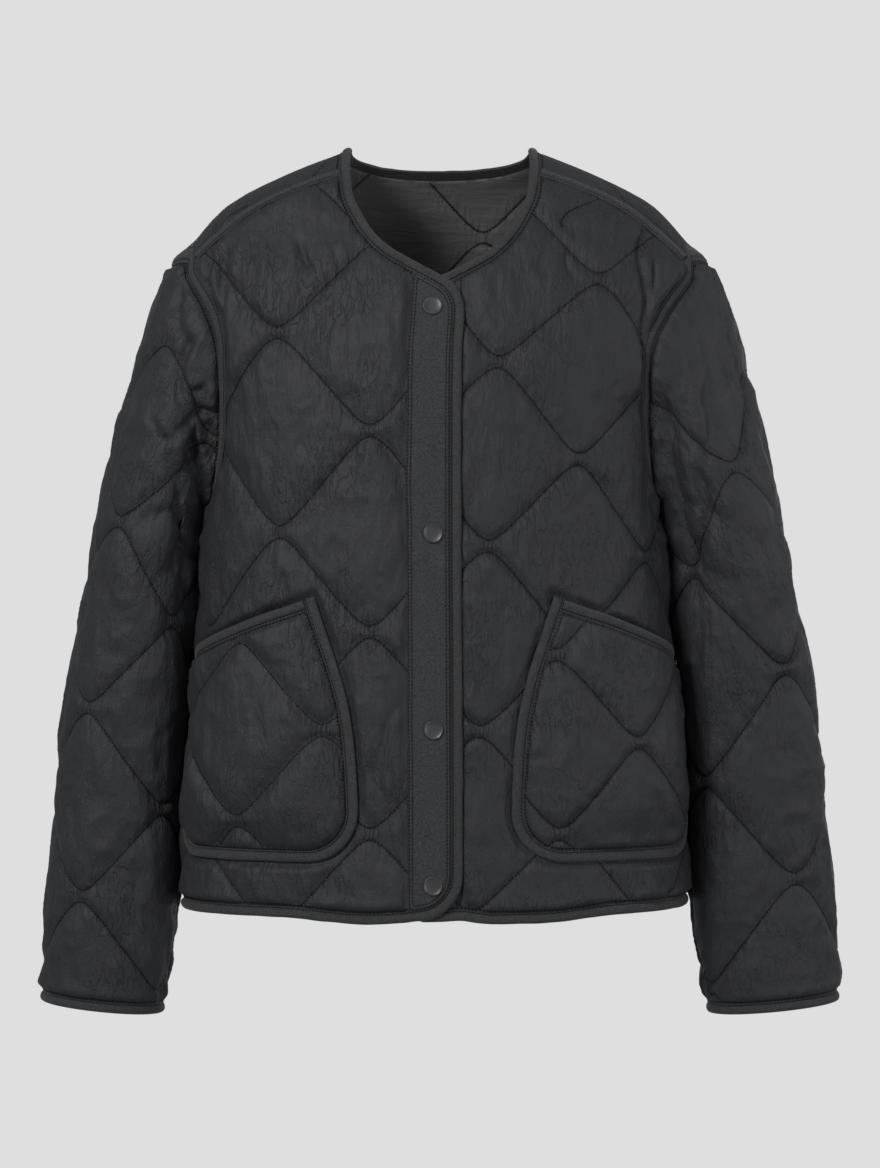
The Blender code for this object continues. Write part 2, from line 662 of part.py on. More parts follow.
class SleeveForm(Form):
    """Lining side of a sleeve: rings from the armhole to the cuff, read on its unrolled pattern."""

    def __init__(self, name, side, armhole):
        self.across = np.linspace(-0.5, 0.5, SLEEVE_COLUMNS)
        self.up = np.arange(-0.010, 0.700, GRID_STEP)
        rings = self.rings(side, INNER_SHIFT[name])
        blend = 1 - smoothstep(np.linspace(0, 1, SLEEVE_RINGS) / ARMHOLE_BLEND)
        rings = rings + blend[:, None, None] * (armhole.at_turn(self.across) - rings[0])
        columns = [rings[::-1, k] for k in range(SLEEVE_COLUMNS)]
        self.full_lengths = np.array([lengths(column)[-1] for column in columns])
        points = np.array([self.read_column(column) for column in columns])
        self.round_lengths = self.measure_round(points)
        self.finish(points, -side, FOLDS["sleeve"])

    def face(self):
        wrapped = np.concatenate([self.points[-2:-1], self.points, self.points[1:2]])
        across = np.gradient(wrapped, axis=0)[1:-1]
        up = np.gradient(self.points, axis=1)
        self.normals = unit(np.cross(across, up)) * self.outward

    def rings(self, side, shift):
        middle = [((row.outer_x + row.inner_x) / 2, (row.outer_z + row.inner_z) / 2) for row in SLEEVE]
        place = lengths(np.array(middle))
        table = [Station(*pair) for pair in zip(place, *zip(*SLEEVE))]
        places = np.linspace(0, place[-1], SLEEVE_RINGS)
        value = {name: read(table, "place", name, places) for name in Ring._fields}
        rings = []
        for k in range(SLEEVE_RINGS):
            outer = np.array([value["outer_x"][k], value["outer_z"][k]])
            inner = np.array([value["inner_x"][k], value["inner_z"][k]])
            inner[0] += shift * smoothstep(places[k] / place[3])
            ahead = unit(outer - inner)
            outer = outer - ahead * LOFT
            width = np.linalg.norm(outer - inner) / 2
            x, y = ring_outline(self.across, width, value["depth"][k], value["power"][k])
            centre = (outer + inner) / 2
            ring = [(centre[0] + ahead[0] * x) * side, value["centre_y"][k] - y, centre[1] + ahead[1] * x]
            rings.append(np.stack(ring, axis=1))
        return np.array(rings)

    def read_column(self, column):
        """Places up a column, carried straight on past its two ends."""
        run = lengths(column)
        points = np.stack([np.interp(self.up, run, column[:, k]) for k in range(3)], axis=1)
        for past, end, step in ((self.up < 0, 0, column[1] - column[0]),
                                (self.up > run[-1], -1, column[-1] - column[-2])):
            points[past] = column[end] + unit(step) * (self.up[past] - run[end])[:, None]
        return points

    def measure_round(self, points):
        """Length round the sleeve at each place up it, from the columns that reach that far."""
        gaps = np.linalg.norm(np.diff(points, axis=0), axis=2)
        reach = np.minimum(self.full_lengths[1:], self.full_lengths[:-1])
        result = []
        for k, up in enumerate(self.up):
            here = gaps[reach >= min(up, reach.max() - 0.01), k]
            result.append(here.mean() * (SLEEVE_COLUMNS - 1))
        return np.convolve(np.pad(result, 4, mode="edge"), np.ones(9) / 9, mode="valid")

    def round_at(self, up):
        return np.interp(up, self.up, self.round_lengths)

    def width(self, across, up):
        return across * self.round_at(up)

    def column(self, across, up):
        return across / self.round_at(up)

    def top(self, turns):
        """Length of the sleeve from cuff to armhole at these shares of the round."""
        return np.interp(turns, self.across, self.full_lengths)


# --- quilting ----------------------------------------------------------------------------------------------


def wave_shape(t):
    """Zigzag with straight runs and rounded turns: 1 at t = 0, -1 at t = 1."""
    return np.arcsin(TURN_SHARPNESS * np.cos(math.pi * t)) / math.asin(TURN_SHARPNESS)


def wave_steepness(t):
    lean = TURN_SHARPNESS * np.cos(math.pi * t)
    rise = math.pi * TURN_SHARPNESS * np.abs(np.sin(math.pi * t))
    return rise / np.sqrt(1 - lean**2) / math.asin(TURN_SHARPNESS)


class Quilting:
    """Stitched waves over a panel, each the mirror of the next."""

    def __init__(self, plan):
        self.plan = plan
        turn = math.radians(plan.turn)
        self.axes = np.array([[math.cos(turn), math.sin(turn)], [-math.sin(turn), math.cos(turn)]])
        self.swing = (plan.row - NODE_APPROACH) / 2

    def to_plan(self, points):
        return (points - [self.plan.across, self.plan.up]) @ self.axes.T

    def height(self, k, p):
        """Place of wave k up the plan; waves k and k - 1 come together at p = 0 for even k."""
        return (k + 0.5) * self.plan.row - (-1.0) ** k * self.swing * wave_shape(p / self.plan.half)

    def distance(self, points):
        p, q = self.to_plan(points).T
        slope = self.swing / self.plan.half * wave_steepness(p / self.plan.half)
        k = np.floor(q / self.plan.row)
        near = [np.abs(q - self.height(k + step, p)) for step in (-1, 0, 1)]
        return np.min(near, axis=0) / np.sqrt(1 + slope**2)

    def lines(self, outline):
        """Every wave that crosses an outline's extent."""
        low = self.to_plan(outline).min(axis=0)
        high = self.to_plan(outline).max(axis=0)
        first = int(math.floor(low[1] / self.plan.row)) - 1
        last = int(math.ceil(high[1] / self.plan.row)) + 1
        result = []
        for k in range(first, last):
            p = np.arange(low[0], high[0], FINE / 2)
            wave = spaced(np.stack([p, self.height(k, p)], axis=1), LINE_SPACING)
            result.append(wave @ self.axes + [self.plan.across, self.plan.up])
        return result


class Relief:
    """Height of a panel's outer face over its lining side: wadding between the waves, flat by its edges."""

    def __init__(self, quilting, outline, crown, seams=(), showing=None):
        self.quilting = quilting
        self.outline = outline
        self.crown = crown
        self.seams = seams
        self.showing = showing

    def fullness(self, points):
        full = smoothstep(distance_to(self.outline, points) / SEAM_FADE)
        for line, margin in self.seams:
            full = full * smoothstep((distance_to(line, points, closed=False) - margin) / SEAM_FADE)
        return full if self.showing is None else full * self.showing(points)

    def height(self, points):
        rise = 1 - (1 - np.clip(self.quilting.distance(points) / CROWN_REACH, 0, 1)) ** 2.2
        return EDGE_WALL + self.crown * rise * self.fullness(points)


# --- solids ------------------------------------------------------------------------------------------------


class PointList:
    """Points and edges of a flat triangulation, gathered line by line."""

    def __init__(self, outline):
        self.outline = outline
        self.points = [tuple(point) for point in outline]
        self.edges = [(k, (k + 1) % len(outline)) for k in range(len(outline))]
        self.kept = []

    def add_line(self, line, free):
        if self.kept:
            free = free & (distance_between(line, np.array(self.kept)) > LINE_CLEARANCE)
        added = []
        for k, point in enumerate(line):
            if not free[k]:
                continue
            if k and free[k - 1]:
                self.edges.append((len(self.points) - 1, len(self.points)))
            self.points.append(tuple(point))
            added.append(point)
        self.kept += added


def distance_between(points, others):
    return np.linalg.norm(points[:, None] - others, axis=2).min(axis=1)


def triangulate(outline, relief, seams, spacing):
    """Triangles over a flat outline, with seams and stitched waves along their edges."""
    gathered = PointList(outline)
    for line in seams:
        gathered.add_line(line, inside(outline, line) & (distance_to(outline, line) > EDGE_CLEARANCE))
    waves = [] if relief is None else relief.quilting.lines(outline)
    for line in waves:
        free = inside(outline, line) & (distance_to(outline, line) > WAVE_CLEARANCE)
        gathered.add_line(line, free & (relief.fullness(line) > LEAST_FULLNESS))
    low = outline.min(axis=0)
    high = outline.max(axis=0)
    rows = np.arange(low[1], high[1], spacing * 0.866)
    across = np.arange(low[0], high[0], spacing)
    fill = np.array([(x + (row % 2) * spacing / 2, y) for row, y in enumerate(rows) for x in across])
    fill = fill[inside(outline, fill)]
    fill = fill[distance_to(outline, fill) > spacing / 2]
    if gathered.kept and len(fill):
        fill = fill[distance_between(fill, np.array(gathered.kept)) > spacing / 2]
    points = gathered.points + [tuple(point) for point in fill]
    rim = list(range(len(outline)))
    ahead = np.roll(outline, -1, axis=0)
    if (outline[:, 0] * ahead[:, 1] - outline[:, 1] * ahead[:, 0]).sum() < 0:
        rim = rim[::-1]
    result = delaunay_2d_cdt([Vector(point) for point in points], gathered.edges, [rim], 1, 1e-7)
    flat = np.array([(point.x, point.y) for point in result[0]])
    where = {old: new for new, olds in enumerate(result[3]) for old in olds}
    return flat, result[2], where


def wall(name, outline, place, thickness, relief=None, seams=(), rims=None, sewn=(), spacing=FILL_SPACING):
    """Closed wall over a flat outline. `rims` fixes its two faces at some outline points, and `sewn` pairs of
    outline points become one to close a tube."""
    flat, faces, where = triangulate(outline, relief, seams, spacing)
    lower = place(flat, np.zeros(len(flat)))
    upper = place(flat, thickness(flat))
    for k, (low, high) in (rims or {}).items():
        lower[where[k]] = low
        upper[where[k]] = high
    index = np.arange(len(flat))
    for old, new in sewn:
        index[where[old]] = where[new]
    faces = [tuple(int(index[k]) for k in face) for face in faces]
    faces = [face for face in faces if len(set(face)) == 3]
    edges = {edge for a, b, c in faces for edge in ((a, b), (b, c), (c, a))}
    rim = [edge for edge in edges if edge[::-1] not in edges]
    size = len(flat)
    solid = faces + [(c + size, b + size, a + size) for a, b, c in faces]
    for a, b in sorted(rim):
        solid += [(b, a, a + size), (b, a + size, b + size)]
    return add_solid(name, np.concatenate([upper, lower]), solid)


def strip(name, rows, closed=False):
    """Closed bar through rows of places, one row per station."""
    stations, count = rows.shape[:2]
    faces = []
    for i in range(stations if closed else stations - 1):
        j = (i + 1) % stations
        for a in range(count):
            b = (a + 1) % count
            faces.append((i * count + a, i * count + b, j * count + b, j * count + a))
    if not closed:
        faces.append(tuple(range(count))[::-1])
        faces.append(tuple(range((stations - 1) * count, stations * count)))
    return add_solid(name, rows.reshape(-1, 3), faces)


def add_solid(name, points, faces):
    mesh = bpy.data.meshes.new(name)
    mesh.from_pydata([tuple(point) for point in points], [], faces)
    shape = bmesh.new()
    shape.from_mesh(mesh)
    loose = [vertex for vertex in shape.verts if not vertex.link_faces]
    bmesh.ops.delete(shape, geom=loose, context="VERTS")
    bmesh.ops.triangulate(shape, faces=shape.faces)
    bmesh.ops.recalc_face_normals(shape, faces=shape.faces)
    shape.to_mesh(mesh)
    shape.free()
    mesh.shade_smooth()
    mesh.set_sharp_from_angle(angle=SHARP_ANGLE)
    piece = bpy.data.objects.new(name, mesh)
    PARTS.objects.link(piece)
    return piece


def finish(piece, look):
    """Gives a piece its own material."""
    name, colour, roughness = look
    material = bpy.data.materials.new(f"{name}_{piece.name}")
    material.use_nodes = True
    shader = material.node_tree.nodes["Principled BSDF"]
    shader.inputs["Base Color"].default_value = (*colour, 1)
    shader.inputs["Roughness"].default_value = roughness
    piece.data.materials.append(material)


# --- panels ------------------------------------------------------------------------------------------------


def side_of(name):
    return -1 if name.endswith("right") else 1


def hem_up(across):
    return read(HEM_EDGE, "across", "up", across)


def on_front(name):
    """Placing function for a front: the right one rises over the left one towards the centre line."""
    lift = OVERLAP_LIFT if name == "front_right" else 0.0

    def place(points, out):
        rise = lift * smoothstep((points[:, 0] - LIFT_START) / LIFT_RUN)
        return FRONT.at(points[:, 0], points[:, 1], out + rise)

    return place


def on_back(points, out):
    return BACK.at(points[:, 0], points[:, 1], out)


class BoundEdge:
    """Finished edge of a front, as on the left side: down the neckline, the front edge and along the hem."""

    def __init__(self, name):
        self.line = spaced(self.outline(name), FINE)
        run = lengths(self.line)
        across, up = self.line.T
        self.neck_end = run[int(np.argmax((across < 0) & (up < NECK_BINDING_END)))]
        self.hem_start = run[len(run) - int(np.argmax(across[::-1] < HEM_BINDING_START[name]))]
        self.end = run[-1]
        self.marks = marks_along(self.line, EDGE_SPACING, (self.neck_end, self.hem_start))

    def outline(self, name):
        past = FRONT_EDGE[name]
        ups = np.linspace(NECK_FRONT[-1].up, NECK_FRONT[0].up, LINE_STEPS)
        neck = np.stack([read(NECK_FRONT, "up", "across", ups), ups], axis=1)
        low = float(hem_up(-past * side_of(name)))
        turns = rounded((
            Corner(CORNER_LEG, NECK_FRONT[0].up + NECK_SLOPE * CORNER_LEG, 0),
            Corner(-past, NECK_FRONT[0].up - NECK_SLOPE * past, CORNER_RADIUS[name]),
            Corner(-past, low, CORNER_RADIUS[name]),
            Corner(CORNER_LEG, low, 0),
        ), closed=False)
        across = np.linspace(HEM_FROM, CHEST_QUARTER - GAP / 2, LINE_STEPS)
        hem = np.stack([across, hem_up(across * side_of(name))], axis=1)
        return np.concatenate([neck, turns[1:-1], hem])

    def marks_between(self, start, end):
        """Stations between two lengths, with half a gap at each end that is a joint."""
        low = start + (GAP / 2 if start > 0 else 0)
        high = end - (GAP / 2 if end < self.end else 0)
        middle = self.marks[(self.marks > start + GAP) & (self.marks < end - GAP)]
        return np.concatenate([[low], middle, [high]])


def shoulder_seam(form, start, end, inwards=GAP / 2):
    across = np.linspace(start, end, SHOULDER_STEPS)
    forward = -SHOULDER_FORWARD if form is FRONT else SHOULDER_FORWARD
    return np.stack([across, form.ridge(across) + forward - inwards], axis=1)


def side_seam(low, high):
    """Places between the hem and the underarm."""
    count = int((high - low) / EDGE_SPACING) + 1
    ups = np.linspace(low, high, count + 1)[1:-1]
    return np.stack([np.full_like(ups, CHEST_QUARTER - GAP / 2), ups], axis=1)


def armhole_edge(line, marks):
    """A panel's edge along an armhole, with half a gap to its neighbour at each end."""
    edge = beside(line, marks, 0)
    edge[0, 0] = CHEST_QUARTER - GAP / 2
    edge[-1, 1] -= GAP / 2
    return edge


def seam_lines(form, line, marks):
    """Lines along the inner edges of the tapes, where the wadding begins."""
    armhole = beside(line, marks, ARMHOLE_MARGIN)
    shoulder = shoulder_seam(form, NECK_FRONT[-1].across + BINDING_WIDTH + GAP, SEAM_END, SHOULDER_MARGIN)
    return [armhole, shoulder]


def build_front(name, edge, hole):
    side = side_of(name)
    bound = beside(edge.line, edge.marks, BINDING_WIDTH + GAP)[1:]
    bound[-1, 0] = CHEST_QUARTER - GAP / 2
    seam = side_seam(bound[-1, 1], ARMHOLE_FRONT[0].up)
    half = armhole_edge(hole.front, hole.front_marks)
    shoulder = shoulder_seam(FRONT, SEAM_END, NECK_FRONT[-1].across + BINDING_WIDTH + GAP)
    outline = np.concatenate([bound, seam, half, shoulder[1:]]) * [side, 1]
    rims = hole.rims(FRONT, half * [side, 1], len(bound) + len(seam))

    pocket = pocket_edge(-POCKET_MARGIN) * [side, 1]
    ups = np.arange(0, NECK_FRONT[-1].up, EDGE_SPACING)
    by_edge = np.stack([np.full_like(ups, FLAT_UNTIL[name]), ups], axis=1)
    tapes = seam_lines(FRONT, hole.front, hole.front_marks)
    lines = [line * [side, 1] for line in tapes + [by_edge]] + [np.concatenate([pocket, pocket[:1]])]

    def showing(points):
        level = smoothstep((points[:, 0] * side - FLAT_UNTIL[name]) / SEAM_FADE)
        return level * smoothstep(distance_to(pocket, points) / SEAM_FADE) * ~inside(pocket, points)

    seams = [(half * [side, 1], ARMHOLE_MARGIN), (half[-2:] * [side, 1], CORNER_MARGIN)]
    seams.append((shoulder * [side, 1], SHOULDER_MARGIN))
    relief = Relief(Quilting(QUILTS[name]), outline, CROWN, seams, showing)
    finish(wall(name, outline, on_front(name), relief.height, relief, lines, rims), SHELL)


def neck_back_line():
    """Finished neckline of the back, from the wearer's right shoulder seam to the left one."""
    start = NECK_FRONT[-1].across
    half = [(start, BACK.ridge(start) + SHOULDER_FORWARD), (start - NECK_TURN, BACK.ridge(start) + NECK_RISE)]
    half += [(row.across, BACK.up_at_height(row.across, row.height)) for row in NECK_BACK[::-1]]
    half = np.array(half)
    return through(np.concatenate([half * [-1, 1], half[-2::-1]]), ACROSS_STEPS)


def hem_back_line():
    """Finished hem of the back, from the wearer's right side seam to the left one."""
    ends = HEM_EDGE[0], HEM_EDGE[-1]
    across = np.linspace(-CHEST_QUARTER, CHEST_QUARTER, ACROSS_STEPS)
    up = np.interp(across, [end.across for end in ends], [end.up for end in ends])
    return np.stack([across, up], axis=1)


def build_back(right, left):
    line = neck_back_line()
    neck = beside(line, marks_along(line, EDGE_SPACING), BINDING_WIDTH + GAP, left=False)[1:-1]
    shoulder = shoulder_seam(BACK, NECK_FRONT[-1].across + BINDING_WIDTH + GAP, SEAM_END)
    half = armhole_edge(left.back, left.back_marks)
    line = hem_back_line()
    hem = beside(line, marks_along(line, EDGE_SPACING), BINDING_WIDTH + GAP)
    hem[0, 0] = -CHEST_QUARTER + GAP / 2
    hem[-1, 0] = CHEST_QUARTER - GAP / 2
    seam_left = side_seam(hem[-1, 1], ARMHOLE_BACK[0].up)
    seam_right = side_seam(hem[0, 1], ARMHOLE_BACK[0].up) * [-1, 1]
    mirror = np.array([-1, 1])
    outline = np.concatenate([neck, shoulder[:-1], half[::-1], seam_left[::-1], hem[::-1],
                              seam_right, half * mirror, shoulder[::-1][1:] * mirror])
    first = len(neck) + len(shoulder) - 1
    second = first + len(half) + len(seam_left) + len(hem) + len(seam_right)
    rims = left.rims(BACK, half[::-1], first)
    rims.update(right.rims(BACK, half * mirror, second))
    tapes = seam_lines(BACK, left.back, left.back_marks)
    lines = tapes + [tape * mirror for tape in tapes]
    seams = [(half, ARMHOLE_MARGIN), (half[-2:], CORNER_MARGIN), (shoulder, SHOULDER_MARGIN)]
    seams += [(line * mirror, margin) for line, margin in seams]
    relief = Relief(Quilting(QUILTS["back"]), outline, CROWN, seams)
    finish(wall("back", outline, on_back, relief.height, relief, lines, rims), SHELL)


def on_sleeve(form):
    def place(points, out):
        return form.at(points[:, 0], points[:, 1], out)

    return place


def build_sleeve(name, form, hole):
    turns, faces = hole.for_sleeve()
    top = np.stack([turns * form.round_at(form.top(turns)), form.top(turns)], axis=1)
    low = BINDING_WIDTH + GAP
    ups = np.linspace(low, form.top(0.5), SLEEVE_EDGE_STEPS + 1)[:-1]
    edge = np.stack([form.round_at(ups) / 2, ups], axis=1)
    across = np.linspace(-0.5, 0.5, CUFF_STEPS + 1)[1:-1] * form.round_at(low)
    cuff = np.stack([across, np.full_like(across, low)], axis=1)
    outline = np.concatenate([edge, top[::-1], edge[::-1] * [-1, 1], cuff])
    rims = {len(edge) + k: pair for k, pair in enumerate(faces[::-1])}
    last = len(edge) + len(top) - 1
    sewn = [(last, len(edge))] + [(last + 1 + k, len(edge) - 1 - k) for k in range(len(edge))]
    relief = Relief(Quilting(QUILTS[name]), outline, CROWN)
    finish(wall(name, outline, on_sleeve(form), relief.height, relief, (), rims, sewn), SHELL)


# --- pockets -----------------------------------------------------------------------------------------------


def pocket_corner(corner, beyond, across_mouth, inwards, down):
    """A top corner of the pocket moved in from its sewn side and down from its mouth."""
    here = np.array(corner[:2])
    rows = []
    levels = []
    for target, distance in ((beyond, inwards), (across_mouth, down)):
        along = unit(np.array(target[:2]) - here)
        normal = np.array([-along[1], along[0]])
        other = across_mouth if target is beyond else beyond
        normal = normal * np.sign(normal @ (np.array(other[:2]) - here))
        rows.append(normal)
        levels.append(normal @ here + distance)
    return np.linalg.solve(rows, levels)


def mouth_ends(inwards, down):
    """Ends of a line below the mouth, at the inner and the outer side."""
    return (pocket_corner(POCKET[0], POCKET[1], POCKET[-1], inwards, down),
            pocket_corner(POCKET[-1], POCKET[-2], POCKET[0], inwards, down))


def pocket_edge(inwards):
    """Closed outline of the pocket on the left side, all its sides moved in; it ends with the mouth."""
    line = spaced(rounded(POCKET, closed=False), FINE)
    marks = marks_along(line, EDGE_SPACING)
    inner, outer = mouth_ends(inwards, inwards)
    along = unit(outer - inner)
    sewn = beside(line, marks, inwards)
    below = (sewn - inner) @ np.array([along[1], -along[0]])
    sewn = sewn[below > EDGE_SPACING / 3]
    mouth = np.linspace(outer, inner, MOUTH_STEPS + 1)
    return np.concatenate([mouth[-1:], sewn, mouth[:-1]])


def on_pocket(name):
    """Placing function for a pocket: sewn down round its edge, standing off the front in the middle."""
    sewn = rounded(POCKET, closed=False) * [side_of(name), 1]
    ground = on_front(name.replace("pocket", "front"))

    def place(points, out):
        apart = distance_to(sewn, points, closed=False) - BINDING_WIDTH
        return ground(points, out + POCKET_BASE + POCKET_HOLLOW * smoothstep(apart / POCKET_RISE))

    return place


def build_pocket(name):
    side = side_of(name)
    mirror = np.array([side, 1])
    outline = pocket_edge(BINDING_WIDTH + GAP) * mirror
    relief = Relief(Quilting(QUILTS[name]), outline, POCKET_CROWN)
    place = on_pocket(name)
    finish(wall(name, outline, place, relief.height, relief, spacing=POCKET_FILL), SHELL)

    line = spaced(rounded(POCKET, closed=False), FINE)
    ground = on_front(name.replace("pocket", "front"))

    def at_base(points, out):
        return ground(points, out + POCKET_BASE)

    profile = binding_profile(0.0, POCKET_BINDING_HEIGHT)
    rows = edging(at_base, line, marks_along(line, EDGE_SPACING), BINDING_WIDTH / 2, profile, side)
    finish(strip(name.replace("pocket", "pocket_edge_binding"), rows), TWILL)

    rows = []
    for across, out in binding_profile(BINDING_LOW, BINDING_HIGH):
        ends = mouth_ends(BINDING_WIDTH + GAP, BINDING_WIDTH / 2 + across)
        line = np.linspace(*ends, MOUTH_STEPS + 1) * mirror
        rows.append(place(line, np.full(len(line), out)))
    finish(strip(name.replace("pocket", "pocket_mouth_binding"), np.array(rows).transpose(1, 0, 2)), TWILL)


# --- bindings, tapes, placket and snaps --------------------------------------------------------------------


def binding_profile(low, high):
    """Rounded section of a folded binding: places across it and out from the cloth."""
    half = BINDING_WIDTH / 2
    middle = (low + high) / 2
    flat = half * 0.72
    return ((-half, middle), (-flat, high), (flat, high), (half, middle), (flat, low), (-flat, low))


def tape_profile(gap):
    half = TAPE_WIDTH / 2
    low = EDGE_WALL + gap
    high = low + TAPE_HEIGHT
    return ((-half, low), (-half, high), (half, high), (half, low))


def edging(place, line, marks, middle, profile, side=1, left=True):
    """Stations of a strip that follows a line at some distance inside it; its profile runs inwards."""
    rows = []
    for across, out in profile:
        points = beside(line, marks, middle + across, left) * [side, 1]
        rows.append(place(points, np.full(len(points), out)))
    return np.array(rows).transpose(1, 0, 2)


def join(*parts):
    """Stations of one strip through several stretches, without doubled ones where they meet."""
    rows = np.concatenate(parts)
    steps = np.linalg.norm(np.diff(rows.mean(axis=1), axis=0), axis=1)
    return rows[np.concatenate([[True], steps > JOIN_REACH])]


def build_bindings(right, left):
    middle = BINDING_WIDTH / 2
    profile = binding_profile(BINDING_LOW, BINDING_HIGH)

    def part(edge, name, start, end):
        marks = edge.marks_between(start, end)
        return edging(on_front(name), edge.line, marks, middle, profile, side_of(name))

    neck = neck_back_line()
    neck_back = edging(on_back, neck, marks_along(neck, EDGE_SPACING), middle, profile, left=False)
    hem = hem_back_line()
    hem_back = edging(on_back, hem, marks_along(hem, EDGE_SPACING), middle, profile)
    neck_left = part(left, "front_left", 0, left.neck_end)
    neck_right = part(right, "front_right", 0, right.neck_end)
    hem_left = part(left, "front_left", left.hem_start, left.end)
    hem_right = part(right, "front_right", right.hem_start, right.end)
    pieces = {
        "neck_binding": join(neck_left[::-1], neck_back[::-1], neck_right),
        "front_edge_binding": part(right, "front_right", right.neck_end, right.hem_start),
        "underlap_binding": part(left, "front_left", left.neck_end, left.hem_start),
        "hem_binding": join(hem_right, hem_back, hem_left[::-1]),
    }
    for name, rows in pieces.items():
        finish(strip(name, rows), TWILL)


def build_cuff_binding(name, form):
    turns = np.linspace(-0.5, 0.5, CUFF_STEPS + 1)[:-1]
    rows = []
    for across, out in binding_profile(BINDING_LOW, BINDING_HIGH):
        up = np.full_like(turns, BINDING_WIDTH / 2 + across)
        rows.append(form.at(turns * form.round_at(up), up, out))
    finish(strip(name, np.array(rows).transpose(1, 0, 2), closed=True), TWILL)


def build_tapes(name, hole):
    front = on_front(f"front_{name}")
    start = NECK_FRONT[-1].across + BINDING_WIDTH + 4 * GAP
    end = SEAM_END - TAPE_INSET - TAPE_WIDTH - 4 * GAP
    seam = shoulder_seam(FRONT, start, end, 0)
    rows = edging(front, seam, lengths(seam), 0, tape_profile(SHOULDER_TAPE_GAP), hole.side)
    finish(strip(f"shoulder_tape_{name}", rows), TWILL)

    middle = TAPE_INSET + TAPE_WIDTH / 2
    profile = tape_profile(ARMHOLE_TAPE_GAP)
    down = edging(front, hole.front, hole.front_marks, middle, profile, hole.side)[::-1]
    up = edging(on_back, hole.back, hole.back_marks, middle, profile, hole.side)
    rows = join(down, up)
    if np.linalg.norm(rows[0].mean(axis=0) - rows[-1].mean(axis=0)) < JOIN_REACH:
        rows = rows[:-1]
    finish(strip(f"armhole_tape_{name}", rows, closed=True), TWILL)


def build_placket(edge):
    """Facing strip on the right front, beside its edge binding."""
    line = inset(edge.line, BINDING_WIDTH + 2 * GAP)
    within = line[line[:, 0] < PLACKET_EDGE]
    top = within[0, 1]
    low = within[-1, 1]
    points = beside(edge.line, edge.marks, BINDING_WIDTH + 2 * GAP)
    points = points[points[:, 0] < PLACKET_EDGE - GAP]
    ups = np.linspace(low, top, int((top - low) / EDGE_SPACING) + 2)
    side = np.stack([np.full_like(ups, PLACKET_EDGE), ups], axis=1)
    outline = np.concatenate([points, side]) * [-1, 1]
    ground = on_front("front_right")

    def place(places, out):
        return ground(places, out + EDGE_WALL + LAYER_GAP)

    def thickness(places):
        return np.full(len(places), PLACKET_HEIGHT)

    finish(wall("placket", outline, place, thickness), TWILL)


def build_snap(name, row):
    """Low domed cap, turned round its own axis."""
    mesh = bpy.data.meshes.new(name)
    points = [(rim.radius_share * SNAP_RADIUS, 0, rim.height_share * SNAP_HEIGHT) for rim in SNAP_PROFILE]
    mesh.from_pydata(points, [(k, k + 1) for k in range(len(points) - 1)], [])
    cap = bpy.data.objects.new(name, mesh)
    PARTS.objects.link(cap)
    turn = cap.modifiers.new("turned", "SCREW")
    turn.steps = SNAP_STEPS
    turn.render_steps = SNAP_STEPS
    turn.use_merge_vertices = True
    turn.merge_threshold = 0.00001
    turn.use_smooth_shade = True
    out = EDGE_WALL + LAYER_GAP + PLACKET_HEIGHT + SEAM_CLEARANCE
    cap.location = on_front("front_right")(np.array([row]), out)[0]
    cap.rotation_euler = Vector(FRONT.normal(*row)).to_track_quat("Z", "Y").to_euler()
    finish(cap, CAP)


EDGES = {name: BoundEdge(f"front_{name}") for name in SIDES}
HOLES = {name: Armhole(side) for name, side in SIDES.items()}
for name, side in SIDES.items():
    hole = HOLES[name]
    sleeve = SleeveForm(name, side, hole)
    hole.meet(sleeve)
    build_front(f"front_{name}", EDGES[name], hole)
    build_sleeve(f"sleeve_{name}", sleeve, hole)
    build_pocket(f"pocket_{name}")
    build_cuff_binding(f"cuff_binding_{name}", sleeve)
    build_tapes(name, hole)
build_back(HOLES["right"], HOLES["left"])
build_bindings(EDGES["right"], EDGES["left"])
build_placket(EDGES["right"])
for number, row in enumerate(SNAPS, 1):
    build_snap(f"snap_{number}", row)
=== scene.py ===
import math
from collections import namedtuple

import bpy
import numpy as np
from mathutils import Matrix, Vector
from mathutils.geometry import delaunay_2d_cdt
from mathutils.kdtree import KDTree


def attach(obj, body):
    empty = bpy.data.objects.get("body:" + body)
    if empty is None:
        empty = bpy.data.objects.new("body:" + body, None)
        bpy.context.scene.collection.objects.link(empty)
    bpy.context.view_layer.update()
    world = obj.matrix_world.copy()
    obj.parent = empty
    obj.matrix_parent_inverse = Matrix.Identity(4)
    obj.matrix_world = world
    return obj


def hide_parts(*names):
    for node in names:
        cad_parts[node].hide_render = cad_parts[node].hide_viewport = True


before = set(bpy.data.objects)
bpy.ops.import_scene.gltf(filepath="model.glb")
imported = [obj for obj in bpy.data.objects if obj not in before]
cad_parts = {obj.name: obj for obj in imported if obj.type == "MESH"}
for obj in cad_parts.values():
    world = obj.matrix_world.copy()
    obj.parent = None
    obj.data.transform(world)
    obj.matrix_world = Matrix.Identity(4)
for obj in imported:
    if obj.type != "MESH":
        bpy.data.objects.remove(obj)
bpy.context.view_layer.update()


# === Studio ================================================================================================
# A round room of seamless pale paper, its floor far below, surrounds the jacket, which hangs as if worn.
# One main soft lamp stands up to the left, with weaker ones round about, and the camera is at chest height.

CAMERA_AWAY = 2.8
CAMERA_HEIGHT = -0.3527
CAMERA_LENS = 105.72
CAMERA_FILM = 36.0
LAMP_AIM = (0.0, 0.0, -0.32)
AIR_COLOUR = (0.93, 0.96, 1.0, 1.0)
AIR_STRENGTH = 0.24


def put(name, data):
    """A new object in the scene."""
    thing = bpy.data.objects.new(name, data)
    bpy.context.scene.collection.objects.link(thing)
    return thing


